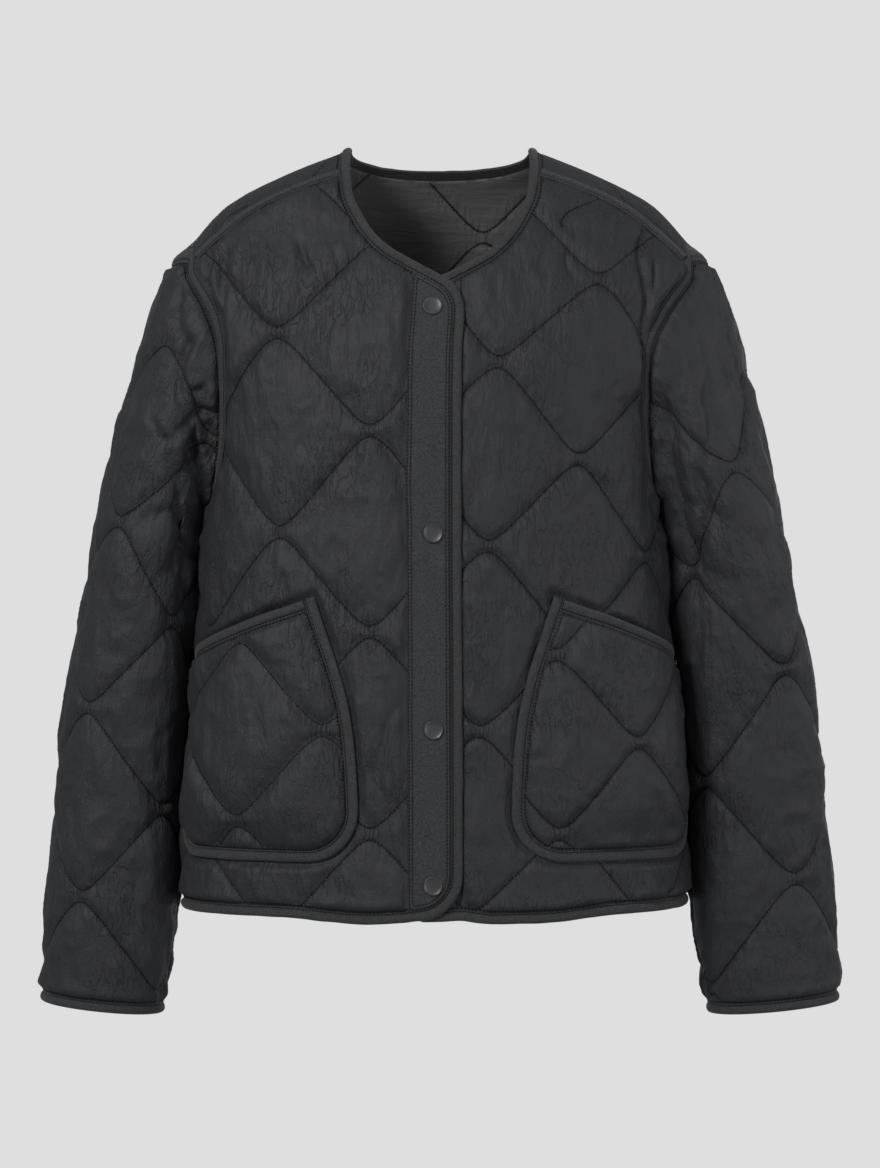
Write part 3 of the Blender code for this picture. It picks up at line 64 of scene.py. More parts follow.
sight = bpy.data.cameras.new("camera")
sight.sensor_fit = "VERTICAL"
sight.sensor_height = CAMERA_FILM
sight.lens = CAMERA_LENS
camera = put("camera", sight)
camera.location = (0.0, -CAMERA_AWAY, CAMERA_HEIGHT)
camera.rotation_euler = (math.pi / 2, 0.0, 0.0)
bpy.context.scene.camera = camera
bpy.context.scene.view_settings.view_transform = "Standard"
bpy.context.scene.view_settings.look = "None"

Lamp = namedtuple("Lamp", "name x y z width watts")
LAMPS = (
    Lamp("key_lamp", -1.7, -2.4, 1.2, 0.8, 54.0),
    Lamp("fill_lamp", 1.8, -2.2, -0.5, 1.4, 17.0),
    Lamp("top_lamp", 0.1, -0.9, 2.2, 1.0, 3.0),
    Lamp("side_lamp", 2.3, 0.2, 0.2, 1.0, 8.0),
    Lamp("back_lamp", -0.4, 2.8, 0.2, 1.0, 17.0),
    Lamp("back_fill_lamp", 0.9, 2.7, -0.3, 1.4, 8.0),
)
for row in LAMPS:
    light = bpy.data.lights.new(row.name, "AREA")
    light.shape = "SQUARE"
    light.size = row.width
    light.energy = row.watts
    lamp = put(row.name, light)
    lamp.location = (row.x, row.y, row.z)
    lamp.rotation_euler = (Vector(LAMP_AIM) - lamp.location).to_track_quat("-Z", "Y").to_euler()

air = bpy.data.worlds.new("studio_air")
air.use_nodes = True
air.node_tree.nodes["Background"].inputs["Color"].default_value = AIR_COLOUR
air.node_tree.nodes["Background"].inputs["Strength"].default_value = AIR_STRENGTH
bpy.context.scene.world = air

ROOM_FLOOR = -3.0
ROOM_TOP = 6.0
ROOM_REACH = 9.0
ROOM_CORNER = 1.5
ROOM_MIDDLE = 0.0005  # the floor and ceiling close to within this of the middle
ROOM_SIDES = 48
PAPER = {
    "Base Color": (0.02, 0.02, 0.02, 1.0),
    "Roughness": 0.9,
    "Specular IOR Level": 0.0,
    "Emission Color": (0.996, 0.996, 1.0, 1.0),
    "Emission Strength": 0.735,
}

room_rows = [(ROOM_MIDDLE, ROOM_FLOOR)]
for turn in np.linspace(0, math.pi / 2, 13):
    room_rows.append((ROOM_REACH - ROOM_CORNER * (1 - math.sin(turn)),
                      ROOM_FLOOR + ROOM_CORNER * (1 - math.cos(turn))))
room_rows += [(ROOM_REACH, ROOM_TOP), (ROOM_MIDDLE, ROOM_TOP)]
room_turns = np.linspace(0, 2 * math.pi, ROOM_SIDES, endpoint=False)
room_points = [(reach * math.cos(t), reach * math.sin(t), z) for reach, z in room_rows for t in room_turns]
room_faces = [(k * ROOM_SIDES + j, (k + 1) * ROOM_SIDES + j,
               (k + 1) * ROOM_SIDES + (j + 1) % ROOM_SIDES, k * ROOM_SIDES + (j + 1) % ROOM_SIDES)
              for k in range(len(room_rows) - 1) for j in range(ROOM_SIDES)]
room_mesh = bpy.data.meshes.new("paper_room")
room_mesh.from_pydata(room_points, [], room_faces)
room_mesh.shade_smooth()
room = put("paper_room", room_mesh)
room.visible_diffuse = False  # the paper's own glow stays off the cloth
room.visible_glossy = False
room.visible_shadow = False
paper = bpy.data.materials.new("pale_paper")
paper.use_nodes = True
for socket, value in PAPER.items():
    paper.node_tree.nodes["Principled BSDF"].inputs[socket].default_value = value
room_mesh.materials.append(paper)


# === Fronts ================================================================================================
# Each front is cut in quilted nylon: a crinkled washed shell and a smooth lining over light wadding, stitched
# through in mirrored waves. The wearer's right one laps over the left. Both are read off one body form.

FINE = 0.0020  # spacing of the places along a drawn line
CLOTH_GRID = 0.0027  # spacing of the places over a panel
EDGE_GRID = 0.0028
ARC_STEP = math.radians(4)

HEM_HEIGHT = -0.616
TIP_HEIGHT = -0.098
CROWN_HEIGHT = 0.020
SECTION_POWER = 2.4
CHEST_QUARTER = 0.248  # centre line to side seam along the cloth
COLUMNS = 121
GRID_STEP = 0.005
LOFT = 0.0045
SHOULDER_FORWARD = 0.048
SEAM_END = 0.2050
TIP_ACROSS = 0.2330
TIP_FORWARD = 0.012
OVERLAP_LIFT = 0.0040
LIFT_START = -0.078
LIFT_RUN = 0.046
FRONT_EDGE = {"front_right": 0.0215, "front_left": 0.0205}
CORNER_RADIUS = {"front_right": 0.036, "front_left": 0.013}
NECK_SLOPE = 0.58
NECK_BINDING_END = 0.4620
HEM_BINDING_START = {"front_right": 0.0205, "front_left": 0.0060}
HEM_FROM = 0.022  # the hem's own line begins here, past the rounded corner
TURN_REACH = 0.060  # the lines that the front's corners lie between reach this far
EDGE_STEPS = 60
GAP = 0.0003
BINDING_WIDTH = 0.0090
BINDING_COVER = 0.0008  # a binding's inner edge covers the cloth's raw edge by this
EDGE_WALL = 0.0016  # cloth where it is stitched flat
TAPE_WIDTH = 0.0085
TAPE_INSET = 0.0002

Level = namedtuple("Level", "height half_width front back shift")
BODY = (
    Level(-0.660, 0.2090, 0.1270, 0.1170, -0.0040),
    Level(-0.616, 0.2074, 0.1265, 0.1170, -0.0040),
    Level(-0.520, 0.2030, 0.1265, 0.1165, -0.0040),
    Level(-0.410, 0.1935, 0.1250, 0.1170, -0.0045),
    Level(-0.316, 0.1875, 0.1220, 0.1190, -0.0050),
    Level(-0.283, 0.1850, 0.1205, 0.1200, -0.0050),
    Level(-0.228, 0.1880, 0.1180, 0.1210, -0.0050),
    Level(-0.178, 0.2010, 0.1130, 0.1190, -0.0045),
    Level(-0.135, 0.2160, 0.1030, 0.1130, -0.0020),
    Level(-0.098, 0.2220, 0.0900, 0.1050, 0.0000),
    Level(-0.072, 0.2010, 0.0780, 0.0980, 0.0000),
    Level(-0.0482, 0.1796, 0.0680, 0.0900, 0.0000),
    Level(-0.0237, 0.1355, 0.0550, 0.0800, 0.0000),
    Level(-0.0033, 0.0850, 0.0400, 0.0620, 0.0000),
    Level(0.0060, 0.0600, 0.0330, 0.0500, 0.0000),
    Level(CROWN_HEIGHT, 0.0050, 0.0100, 0.0200, 0.0000),
)

EdgePoint = namedtuple("EdgePoint", "across up")
NECK_FRONT = (
    EdgePoint(0.0000, 0.5090),
    EdgePoint(0.0222, 0.5218),
    EdgePoint(0.0378, 0.5317),
    EdgePoint(0.0511, 0.5465),
    EdgePoint(0.0610, 0.5640),
    EdgePoint(0.0690, 0.5850),
    EdgePoint(0.0715, 0.6099),
)
ARMHOLE_FRONT = (
    EdgePoint(0.2480, 0.3330),
    EdgePoint(0.2330, 0.3340),
    EdgePoint(0.2160, 0.3410),
    EdgePoint(0.2000, 0.3580),
    EdgePoint(0.1910, 0.3809),
    EdgePoint(0.1850, 0.4114),
    EdgePoint(0.1798, 0.4350),
    EdgePoint(0.1785, 0.4600),
    EdgePoint(0.1868, 0.4864),
    EdgePoint(0.2040, 0.5128),
)
ARMHOLE_BACK = (
    EdgePoint(0.2480, 0.3330),
    EdgePoint(0.2330, 0.3345),
    EdgePoint(0.2160, 0.3430),
    EdgePoint(0.2020, 0.3620),
    EdgePoint(0.1940, 0.3900),
    EdgePoint(0.1915, 0.4250),
    EdgePoint(0.1960, 0.4600),
    EdgePoint(0.2080, 0.4920),
    EdgePoint(0.2250, 0.5180),
    EdgePoint(0.2330, 0.5330),
)
HEM_EDGE = (
    EdgePoint(-0.2480, 0.0010),
    EdgePoint(-0.1250, 0.0018),
    EdgePoint(-0.0540, -0.0026),
    EdgePoint(-0.0160, -0.0006),
    EdgePoint(0.0180, 0.0004),
    EdgePoint(0.0440, -0.0026),
    EdgePoint(0.0830, -0.0022),
    EdgePoint(0.1410, 0.0030),
    EdgePoint(0.2480, 0.0040),
)
Corner = namedtuple("Corner", "across up radius")
POCKET = (
    Corner(0.0935, 0.2535, 0.002),
    Corner(0.0625, 0.1650, 0.300),
    Corner(0.0565, 0.0455, 0.040),
    Corner(0.2360, 0.0455, 0.044),
    Corner(0.2360, 0.2010, 0.002),
)

# Soft folds of the whole wall: troughs (depth > 0) or ridges (depth < 0) between two places of the pattern
Fold = namedtuple("Fold", "across_1 up_1 across_2 up_2 depth width")
FRONT_FOLDS = (
    Fold(-0.1700, 0.5400, -0.1690, 0.4600, 0.0026, 0.0090),
    Fold(-0.1400, 0.5250, -0.1340, 0.4850, -0.0020, 0.0100),
    Fold(-0.1100, 0.5400, -0.1000, 0.5050, 0.0020, 0.0080),
    Fold(-0.0360, 0.3900, -0.0240, 0.3200, 0.0022, 0.0100),
    Fold(-0.0300, 0.1700, -0.0420, 0.1000, 0.0022, 0.0100),
    Fold(0.1640, 0.5500, 0.1690, 0.4500, 0.0030, 0.0090),
    Fold(0.1400, 0.5250, 0.1370, 0.4800, -0.0020, 0.0100),
    Fold(0.1000, 0.5350, 0.1040, 0.5000, 0.0018, 0.0080),
)

# Small creases pressed into the outer cloth alone
CREASE_BOW = 0.09  # of a crease's length
FRONT_CREASES = {
    "front_right": (
        Fold(-0.1785, 0.5420, -0.1795, 0.4860, 0.0056, 0.0030),
        Fold(-0.1640, 0.5300, -0.1720, 0.5080, 0.0020, 0.0036),
        Fold(-0.1480, 0.5350, -0.1360, 0.4990, 0.0017, 0.0040),
        Fold(-0.1100, 0.5400, -0.0970, 0.5100, 0.0026, 0.0032),
        Fold(-0.1250, 0.5500, -0.1200, 0.5200, 0.0013, 0.0032),
        Fold(-0.0840, 0.5450, -0.0760, 0.5150, 0.0014, 0.0030),
        Fold(-0.1400, 0.4800, -0.1450, 0.4620, 0.0024, 0.0026),
        Fold(-0.1600, 0.4500, -0.1660, 0.4150, 0.0014, 0.0036),
        Fold(-0.0250, 0.4950, -0.0330, 0.4650, 0.0013, 0.0030),
        Fold(-0.0230, 0.4400, -0.0340, 0.4120, 0.0013, 0.0032),
        Fold(-0.0400, 0.3900, -0.0240, 0.3500, 0.0022, 0.0038),
        Fold(-0.0240, 0.3600, -0.0230, 0.3150, 0.0020, 0.0034),
        Fold(-0.0230, 0.2860, -0.0300, 0.2480, 0.0022, 0.0036),
        Fold(-0.0300, 0.2500, -0.0235, 0.2200, 0.0018, 0.0034),
        Fold(-0.0270, 0.1700, -0.0410, 0.1330, 0.0024, 0.0038),
        Fold(-0.0400, 0.1400, -0.0430, 0.1000, 0.0020, 0.0036),
        Fold(-0.0500, 0.2500, -0.0600, 0.2350, 0.0012, 0.0030),
        Fold(-0.0900, 0.3100, -0.0960, 0.2850, 0.0014, 0.0034),
        Fold(-0.1350, 0.3300, -0.1280, 0.3000, 0.0012, 0.0032),
        Fold(-0.1850, 0.3400, -0.2150, 0.3100, 0.0020, 0.0045),
        Fold(-0.2000, 0.3150, -0.2350, 0.2950, 0.0018, 0.0040),
        Fold(-0.2320, 0.1700, -0.2400, 0.0800, 0.0018, 0.0050),
        Fold(-0.1500, 0.0420, -0.1560, 0.0180, 0.0012, 0.0030),
        Fold(-0.0850, 0.0400, -0.0820, 0.0160, 0.0012, 0.0030),
    ),
    "front_left": (
        Fold(0.1610, 0.5560, 0.1655, 0.4850, 0.0060, 0.0030),
        Fold(0.1640, 0.4980, 0.1710, 0.4480, 0.0048, 0.0034),
        Fold(0.1760, 0.5340, 0.1680, 0.4960, 0.0026, 0.0036),
        Fold(0.1500, 0.5420, 0.1540, 0.5120, 0.0014, 0.0034),
        Fold(0.0985, 0.5300, 0.1030, 0.5070, 0.0028, 0.0028),
        Fold(0.0870, 0.5440, 0.0930, 0.5230, 0.0014, 0.0030),
        Fold(0.1190, 0.5560, 0.1220, 0.5300, 0.0012, 0.0036),
        Fold(0.0450, 0.5080, 0.0500, 0.4800, 0.0012, 0.0032),
        Fold(0.0300, 0.4100, 0.0420, 0.3800, 0.0014, 0.0036),
        Fold(0.0290, 0.3000, 0.0400, 0.2700, 0.0014, 0.0036),
        Fold(0.0290, 0.1500, 0.0400, 0.1150, 0.0014, 0.0036),
        Fold(0.1150, 0.3600, 0.1220, 0.3300, 0.0012, 0.0032),
        Fold(0.1550, 0.3500, 0.1500, 0.3200, 0.0014, 0.0034),
        Fold(0.1850, 0.3400, 0.2200, 0.3050, 0.0020, 0.0045),
        Fold(0.1950, 0.3100, 0.2350, 0.2900, 0.0018, 0.0040),
        Fold(0.2330, 0.1500, 0.2400, 0.0600, 0.0018, 0.0050),
        Fold(0.1300, 0.0420, 0.1250, 0.0180, 0.0012, 0.0030),
        Fold(0.0600, 0.2520, 0.0500, 0.2330, 0.0012, 0.0030),
    ),
}

QuiltPlan = namedtuple("QuiltPlan", "across up turn half row top", defaults=(99,))
NODE_APPROACH = 0.0095
TURN_SHARPNESS = 0.91
FRONT_QUILTS = {
    "front_right": QuiltPlan(-0.0496, 0.3830, 0.0, 0.0740, 0.0788),
    "front_left": QuiltPlan(0.0503, 0.4376, -3.0, 0.0700, 0.0725),
}
# Extra stitched lines: one closes a small lobe below the left shoulder, one tacks down the under front's neck
EXTRA_STITCHES = {
    "front_right": (),
    "front_left": (
        (EdgePoint(0.0962, 0.5540), EdgePoint(0.0968, 0.5620), EdgePoint(0.1040, 0.5690),
         EdgePoint(0.1160, 0.5755), EdgePoint(0.1330, 0.5850)),
        (EdgePoint(0.0172, 0.5050), EdgePoint(0.0182, 0.4860)),
    ),
}
FRONT_FLAT_UNTIL = {"front_right": 0.0215, "front_left": 0.0190}
FRONT_CROWN = 0.0048
CROWN_REACH = 0.021
SEAM_FADE = 0.0060
ARMHOLE_MARGIN = TAPE_INSET + TAPE_WIDTH + 0.0004
SHOULDER_MARGIN = TAPE_WIDTH / 2 + 0.0020
POCKET_MARGIN = 0.0010
LINING_PUFF = 0.0016
PUFF_POWER = 2.6
LEAST_OUT = 0.0009  # the shell's least distance from the form
LEAST_WALL = 0.0010
FLAT_GATHERS = 0.25  # share of the gathers that stays where the cloth is stitched flat
LINING_GATHERS = 0.4  # share of the shell's gathers that shows in the lining
STITCH_START = 0.0012  # gathers rise from nothing over about this distance from a stitched line
EDGE_START = 0.0020
CREASE_EDGE_FADE = 0.0050  # creases fade out over this distance at an edge
CREASE_SEAM_FADE = 0.0030
CREASE_UNDER_TAPE = 0.0010

# Share of a relief that is left right at a stitched line, and how far from it the relief is whole
Start = namedtuple("Start", "least reach")
CRUMPLE_START = Start(0.10, 0.007)
CREASE_START = Start(0.45, 0.0030)

# Small gathers beside a stitched or bound line: how high they are, how far apart, how far they reach over the
# cloth, and how far they are moved along from one line to the next
Gather = namedtuple("Gather", "height pitch reach shift", defaults=(0.0,))
STITCH_GATHERS = (Gather(0.00085, 0.0062, 0.0060, 1.37), Gather(0.00060, 0.0125, 0.0140, 2.91))
UPRIGHT_GATHERS = (Gather(0.00045, 0.0065, 0.0100),)
UPRIGHT_LEAN = 0.4
EDGE_GATHERS = (Gather(0.0009, 0.0080, 0.0110), Gather(0.0006, 0.0160, 0.0220))
SEAM_GATHERS = (Gather(0.0009, 0.0070, 0.0100),)
KNOT_WIDTH = 0.0085  # where two waves come together
KNOT_HEIGHT = 0.0062
KNOT_FAN = Gather(0.0011, 0.0066, 0.0200, 0.31)
KNOT_FAN_HEIGHT = 0.021
KNOT_FAN_SPREAD = 4

# Crumpled relief of the shell between its stitches: how high, how long, and how much longer up the cloth
Crumple = namedtuple("Crumple", "height size up")
SOFT_CRUMPLE = Crumple(0.00110, 0.0270, 1.0)
SHARP_CRUMPLES = (Crumple(0.00110, 0.0130, 0.45), Crumple(0.00045, 0.0070, 0.60))


def read(rows, given, wanted, at):
    """Smooth curve through a table's rows, which keeps to their rises and falls."""
    x = np.array([getattr(row, given) for row in rows])
    y = np.array([getattr(row, wanted) for row in rows])
    run = np.diff(x)
    rise = np.diff(y) / run
    slope = np.zeros_like(y)
    same = rise[:-1] * rise[1:] > 0
    slope[1:-1][same] = 2 * rise[:-1][same] * rise[1:][same] / (rise[:-1] + rise[1:])[same]
    slope[0] = rise[0]
    slope[-1] = rise[-1]
    at = np.clip(at, x[0], x[-1])
    k = np.clip(np.searchsorted(x, at) - 1, 0, len(run) - 1)
    t = (at - x[k]) / run[k]
    start = y[k] * (1 + 2 * t) * (1 - t) ** 2 + run[k] * slope[k] * t * (1 - t) ** 2
    end = y[k + 1] * t * t * (3 - 2 * t) - run[k] * slope[k + 1] * t * t * (1 - t)
    return start + end


def lengths(points):
    steps = np.linalg.norm(np.diff(points, axis=0), axis=1)
    return np.concatenate([[0], np.cumsum(steps)])


def resample(points, count):
    run = lengths(points)
    at = np.linspace(0, run[-1], count)
    return np.stack([np.interp(at, run, points[:, k]) for k in range(points.shape[1])], axis=1)


def spaced(points, spacing):
    return resample(points, max(2, int(round(lengths(points)[-1] / spacing)) + 1))


def through(points, count):
    """Smooth curve through a few points, as evenly spaced ones."""
    points = np.asarray(points, float)
    padded = np.concatenate([[2 * points[0] - points[1]], points, [2 * points[-1] - points[-2]]])
    fine = []
    for k in range(1, len(padded) - 2):
        t = np.linspace(0, 1, 12, endpoint=False)[:, None]
        before, a, b, after = padded[k - 1:k + 3]
        fine.append(a + t * (b - before) / 2 + t**2 * (before - 2.5 * a + 2 * b - after / 2)
                    + t**3 * (1.5 * a - before / 2 - 1.5 * b + after / 2))
    return resample(np.concatenate(fine + [points[-1:]]), count)


def smoothstep(t):
    t = np.clip(t, 0, 1)
    return t * t * (3 - 2 * t)


def unit(vectors):
    return vectors / np.maximum(np.linalg.norm(vectors, axis=-1, keepdims=True), 1e-12)


def rounded(corners):
    """Open outline with rounded corners, from rows of across, up and radius."""
    points = [np.array(corners[0][:2])]
    for before, corner, after in zip(corners, corners[1:], corners[2:]):
        here = np.array(corner[:2])
        back = unit(np.array(before[:2]) - here)
        ahead = unit(np.array(after[:2]) - here)
        half = math.acos(np.clip(back @ ahead, -1, 1)) / 2
        start = here + back * corner.radius / math.tan(half)
        end = here + ahead * corner.radius / math.tan(half)
        middle = here + unit(back + ahead) * corner.radius / math.sin(half)
        for t in np.linspace(0, 1, max(2, math.ceil((math.pi - 2 * half) / ARC_STEP)) + 1):
            points.append(middle + unit(start * (1 - t) + end * t - middle) * corner.radius)
    points.append(np.array(corners[-1][:2]))
    return np.array(points)


def beside(line, marks, distance, left=True):
    """Places at lengths along a line, moved sideways from it on the pattern."""
    ahead = unit(np.gradient(line, axis=0))
    side = np.stack([-ahead[:, 1], ahead[:, 0]], axis=1) * (distance if left else -distance)
    run = lengths(line)
    return np.stack([np.interp(marks, run, (line + side)[:, k]) for k in range(2)], axis=1)


def even_marks(line, spacing=EDGE_GRID):
    run = lengths(line)[-1]
    return np.linspace(0, run, max(2, int(round(run / spacing)) + 1))


def inside(outline, points):
    """Which points lie inside a closed outline."""
    a = outline
    b = np.roll(outline, -1, axis=0)
    rise = np.where(b[:, 1] == a[:, 1], 1.0, b[:, 1] - a[:, 1])
    result = []
    for part in np.array_split(points, len(points) // 4000 + 1):
        x = part[:, 0][:, None]
        y = part[:, 1][:, None]
        crosses = (a[:, 1] > y) != (b[:, 1] > y)
        where = a[:, 0] + (y - a[:, 1]) / rise * (b[:, 0] - a[:, 0])
        result.append((crosses & (x < where)).sum(axis=1) % 2 == 1)
    return np.concatenate(result)


def tree_of(points):
    tree = KDTree(len(points))
    for k, (across, up) in enumerate(points):
        tree.insert((across, up, 0.0), k)
    tree.balance()
    return tree


class Lines:
    """Lines drawn on the pattern, and how far from them and how far along them each place is."""

    def __init__(self, lines, step=0.0007):
        dense = [spaced(np.asarray(line), step) for line in lines]
        self.number = np.concatenate([np.full(len(line), k) for k, line in enumerate(dense)])
        self.run = np.concatenate([lengths(line) for line in dense])
        self.tree = tree_of(np.concatenate(dense))

    def near(self, points):
        found = [self.tree.find((across, up, 0.0)) for across, up in points]
        index = np.array([hit[1] for hit in found])
        away = np.array([hit[2] for hit in found])
        return away, self.run[index], self.number[index]

    def away(self, points):
        return self.near(points)[0]


def closed(outline):
    return np.concatenate([outline, outline[:1]])


def weights(t):
    return ((-t + 2 * t**2 - t**3) / 2, (2 - 5 * t**2 + 3 * t**3) / 2,
            (t + 4 * t**2 - 3 * t**3) / 2, (-(t**2) + t**3) / 2)


def between(table, i, j):
    """Smooth reading of a regular grid between its points."""
    i0 = np.clip(np.floor(i).astype(int), 0, table.shape[0] - 2)
    j0 = np.clip(np.floor(j).astype(int), 0, table.shape[1] - 2)
    total = 0
    for a, weight_i in enumerate(weights(i - i0)):
        ia = np.clip(i0 + a - 1, 0, table.shape[0] - 1)
        for b, weight_j in enumerate(weights(j - j0)):
            jb = np.clip(j0 + b - 1, 0, table.shape[1] - 1)
            total = total + (weight_i * weight_j)[..., None] * table[ia, jb]
    return total


def fold_depth(folds, across, up):
    """Depth of soft straight folds that fade at their ends."""
    total = np.zeros(np.broadcast(across, up).shape)
    for fold in folds:
        start = np.array([fold.across_1, fold.up_1])
        along = np.array([fold.across_2, fold.up_2]) - start
        size = np.linalg.norm(along)
        along = along / size
        x = (across - start[0]) * along[0] + (up - start[1]) * along[1]
        y = (up - start[1]) * along[0] - (across - start[0]) * along[1]
        fade = np.exp(-((np.abs(x / size - 0.5) / 0.5) ** 4))
        total = total + fold.depth * fade * np.exp(-((y / fold.width) ** 2))
    return total


def crease_depth(creases, points):
    """Depth of pressed creases: a narrow valley with a softer ridge beside it, a little bowed."""
    total = np.zeros(len(points))
    for crease in creases:
        start = np.array([crease.across_1, crease.up_1])
        along = np.array([crease.across_2, crease.up_2]) - start
        size = np.linalg.norm(along)
        along = along / size
        x = (points - start) @ along / size
        bow = size * CREASE_BOW * np.sin(math.pi * np.clip(x, 0, 1))
        y = (points - start) @ np.array([-along[1], along[0]]) + bow
        fade = np.exp(-((np.abs(x - 0.5) / 0.5) ** 4))
        valley = np.exp(-np.abs(y / crease.width) ** 1.5)
        ridge = np.exp(-(((y - 1.7 * crease.width) / (1.2 * crease.width)) ** 2))
        total = total + crease.depth * fade * (valley - 0.55 * ridge)
    return total


def lumps(points, size, seed, count=97):
    """Smooth uneven relief from -1 to 1, with lumps of about this size."""
    table = np.random.default_rng(seed).uniform(-1, 1, (count, count))
    x, y = (points / size).T
    i = np.floor(x).astype(int)
    j = np.floor(y).astype(int)
    u = smoothstep(x - i)
    v = smoothstep(y - j)
    low = table[i % count, j % count] * (1 - u) + table[(i + 1) % count, j % count] * u
    high = table[i % count, (j + 1) % count] * (1 - u) + table[(i + 1) % count, (j + 1) % count] * u
    return low * (1 - v) + high * v


def ripple(along, size, seed, count=997):
    """Uneven waves along a line, from -1 to 1."""
    table = np.random.default_rng(seed).uniform(-1, 1, count)
    at = along / size
    k = np.floor(at).astype(int)
    t = smoothstep(at - k)
    return table[k % count] * (1 - t) + table[(k + 1) % count] * t


def gathered(along, away, gathers, seed, number=0):
    """Gathers beside a line, which die away from it."""
    total = 0
    for k, row in enumerate(gathers):
        wave = row.height * ripple(along + row.shift * number, row.pitch, seed + k)
        total = total + wave * np.exp(-away / row.reach)
    return total


class Form:
    """A grid of places and outward directions over a flat pattern."""

    def finish(self, points, outward, folds):
        self.points = points
        self.outward = outward
        self.face()
        across, up = np.meshgrid(self.across, self.up, indexing="ij")
        self.points = points - self.normals * fold_depth(folds, self.width(across, up), up)[..., None]
        self.face()

    def face(self):
        across = np.gradient(self.points, axis=0)
        up = np.gradient(self.points, axis=1)
        self.normals = unit(np.cross(across, up)) * self.outward

    def width(self, across, up):
        return across

    def column(self, across, up):
        return across

    def cells(self, across, up):
        across = self.column(np.asarray(across, float), np.asarray(up, float))
        i = (across - self.across[0]) / (self.across[1] - self.across[0])
        j = (np.asarray(up, float) - self.up[0]) / (self.up[1] - self.up[0])
        return i, j

    def normal(self, across, up):
        return unit(between(self.normals, *self.cells(across, up)))

    def at(self, across, up, out=0.0):
        out = np.broadcast_to(np.asarray(out, float), np.shape(across))
        return between(self.points, *self.cells(across, up)) + self.normal(across, up) * out[..., None]


def body_size(name, height):
    value = read(BODY, "height", name, height)
    return value if name == "shift" else value - LOFT


def section_point(fraction, height, side):
    """x and depth on a quarter of the body's section, at a fraction of the way from centre to side."""
    turn = np.linspace(0, math.pi / 2, 241)
    x = body_size("half_width", height) * np.sin(turn) ** (2 / SECTION_POWER)
    y = body_size(side, height) * np.cos(turn) ** (2 / SECTION_POWER)
    run = lengths(np.stack([x, y], axis=1))
    at = fraction * CHEST_QUARTER + (run[-1] - CHEST_QUARTER) * fraction**2
    return np.interp(at, run, x), np.interp(at, run, y)


def half_column(fraction, side):
    """One side of a column of the pattern, from below the hem up to the shoulder ridge."""
    heights = np.linspace(BODY[0].height, TIP_HEIGHT, 120)
    points = [(*section_point(fraction, height, side), height) for height in heights]
    x = points[-1][0]
    heights = np.linspace(TIP_HEIGHT, CROWN_HEIGHT - 1e-4, 2400)
    ridge = np.interp(-x, -body_size("half_width", heights), heights)
    if ridge < TIP_HEIGHT + 1e-5:
        return np.array(points)
    t = np.linspace(0, 1, 60)[1:]
    z = ridge - (ridge - TIP_HEIGHT) * (1 - t) ** SECTION_POWER
    share = np.clip(x / body_size("half_width", z), 0, 1)
    y = body_size(side, z) * (1 - share**SECTION_POWER) ** (1 / SECTION_POWER)
    y[-1] = 0
    return np.concatenate([points, np.stack([np.full_like(z, x), y, z], axis=1)])


class BodyForm(Form):
    """Lining side of the body: columns run up one side, over the shoulder ridge and down the other."""

    def __init__(self, side, folds):
        other = "back" if side == "front" else "front"
        facing = -1 if side == "front" else 1
        fractions = np.linspace(-1, 1, COLUMNS)
        self.across = fractions * CHEST_QUARTER
        self.up = np.arange(-0.030, 0.780, GRID_STEP)
        grid = []
        ridge = []
        for fraction in fractions:
            near = half_column(abs(fraction), side)
            far = half_column(abs(fraction), other)[::-1]
            hem = np.interp(HEM_HEIGHT, near[:, 2], lengths(near))
            ridge.append(lengths(near)[-1] - hem)
            column = np.concatenate([near * [1, facing, 1], (far * [1, -facing, 1])[1:]])
            column[:, 0] = column[:, 0] * np.sign(fraction) + body_size("shift", column[:, 2])
            run = lengths(column) - hem
            grid.append(np.stack([np.interp(self.up, run, column[:, k]) for k in range(3)], axis=1))
        self.ridge_lengths = np.array(ridge)
        self.finish(np.array(grid), -facing, folds)

    def ridge(self, across):
        return np.interp(across, self.across, self.ridge_lengths)

    def up_at_height(self, across, height):
        """How far up a column reaches this height, below the ridge."""
        up = np.linspace(0.3, self.ridge(across), 400)
        return float(np.interp(height, self.at(np.full_like(up, across), up)[:, 2], up))


def armhole_half(form, rows):
    """Half of an armhole on the left side's pattern, from the underarm to the shoulder seam."""
    points = [(row.across, row.up) for row in rows]
    if form is back_form:
        points.append((TIP_ACROSS, form.ridge(TIP_ACROSS) + TIP_FORWARD))
        points.append((SEAM_END, form.ridge(SEAM_END) + SHOULDER_FORWARD))
    else:
        points.append((SEAM_END, form.ridge(SEAM_END) - SHOULDER_FORWARD))
    return through(points, 401)


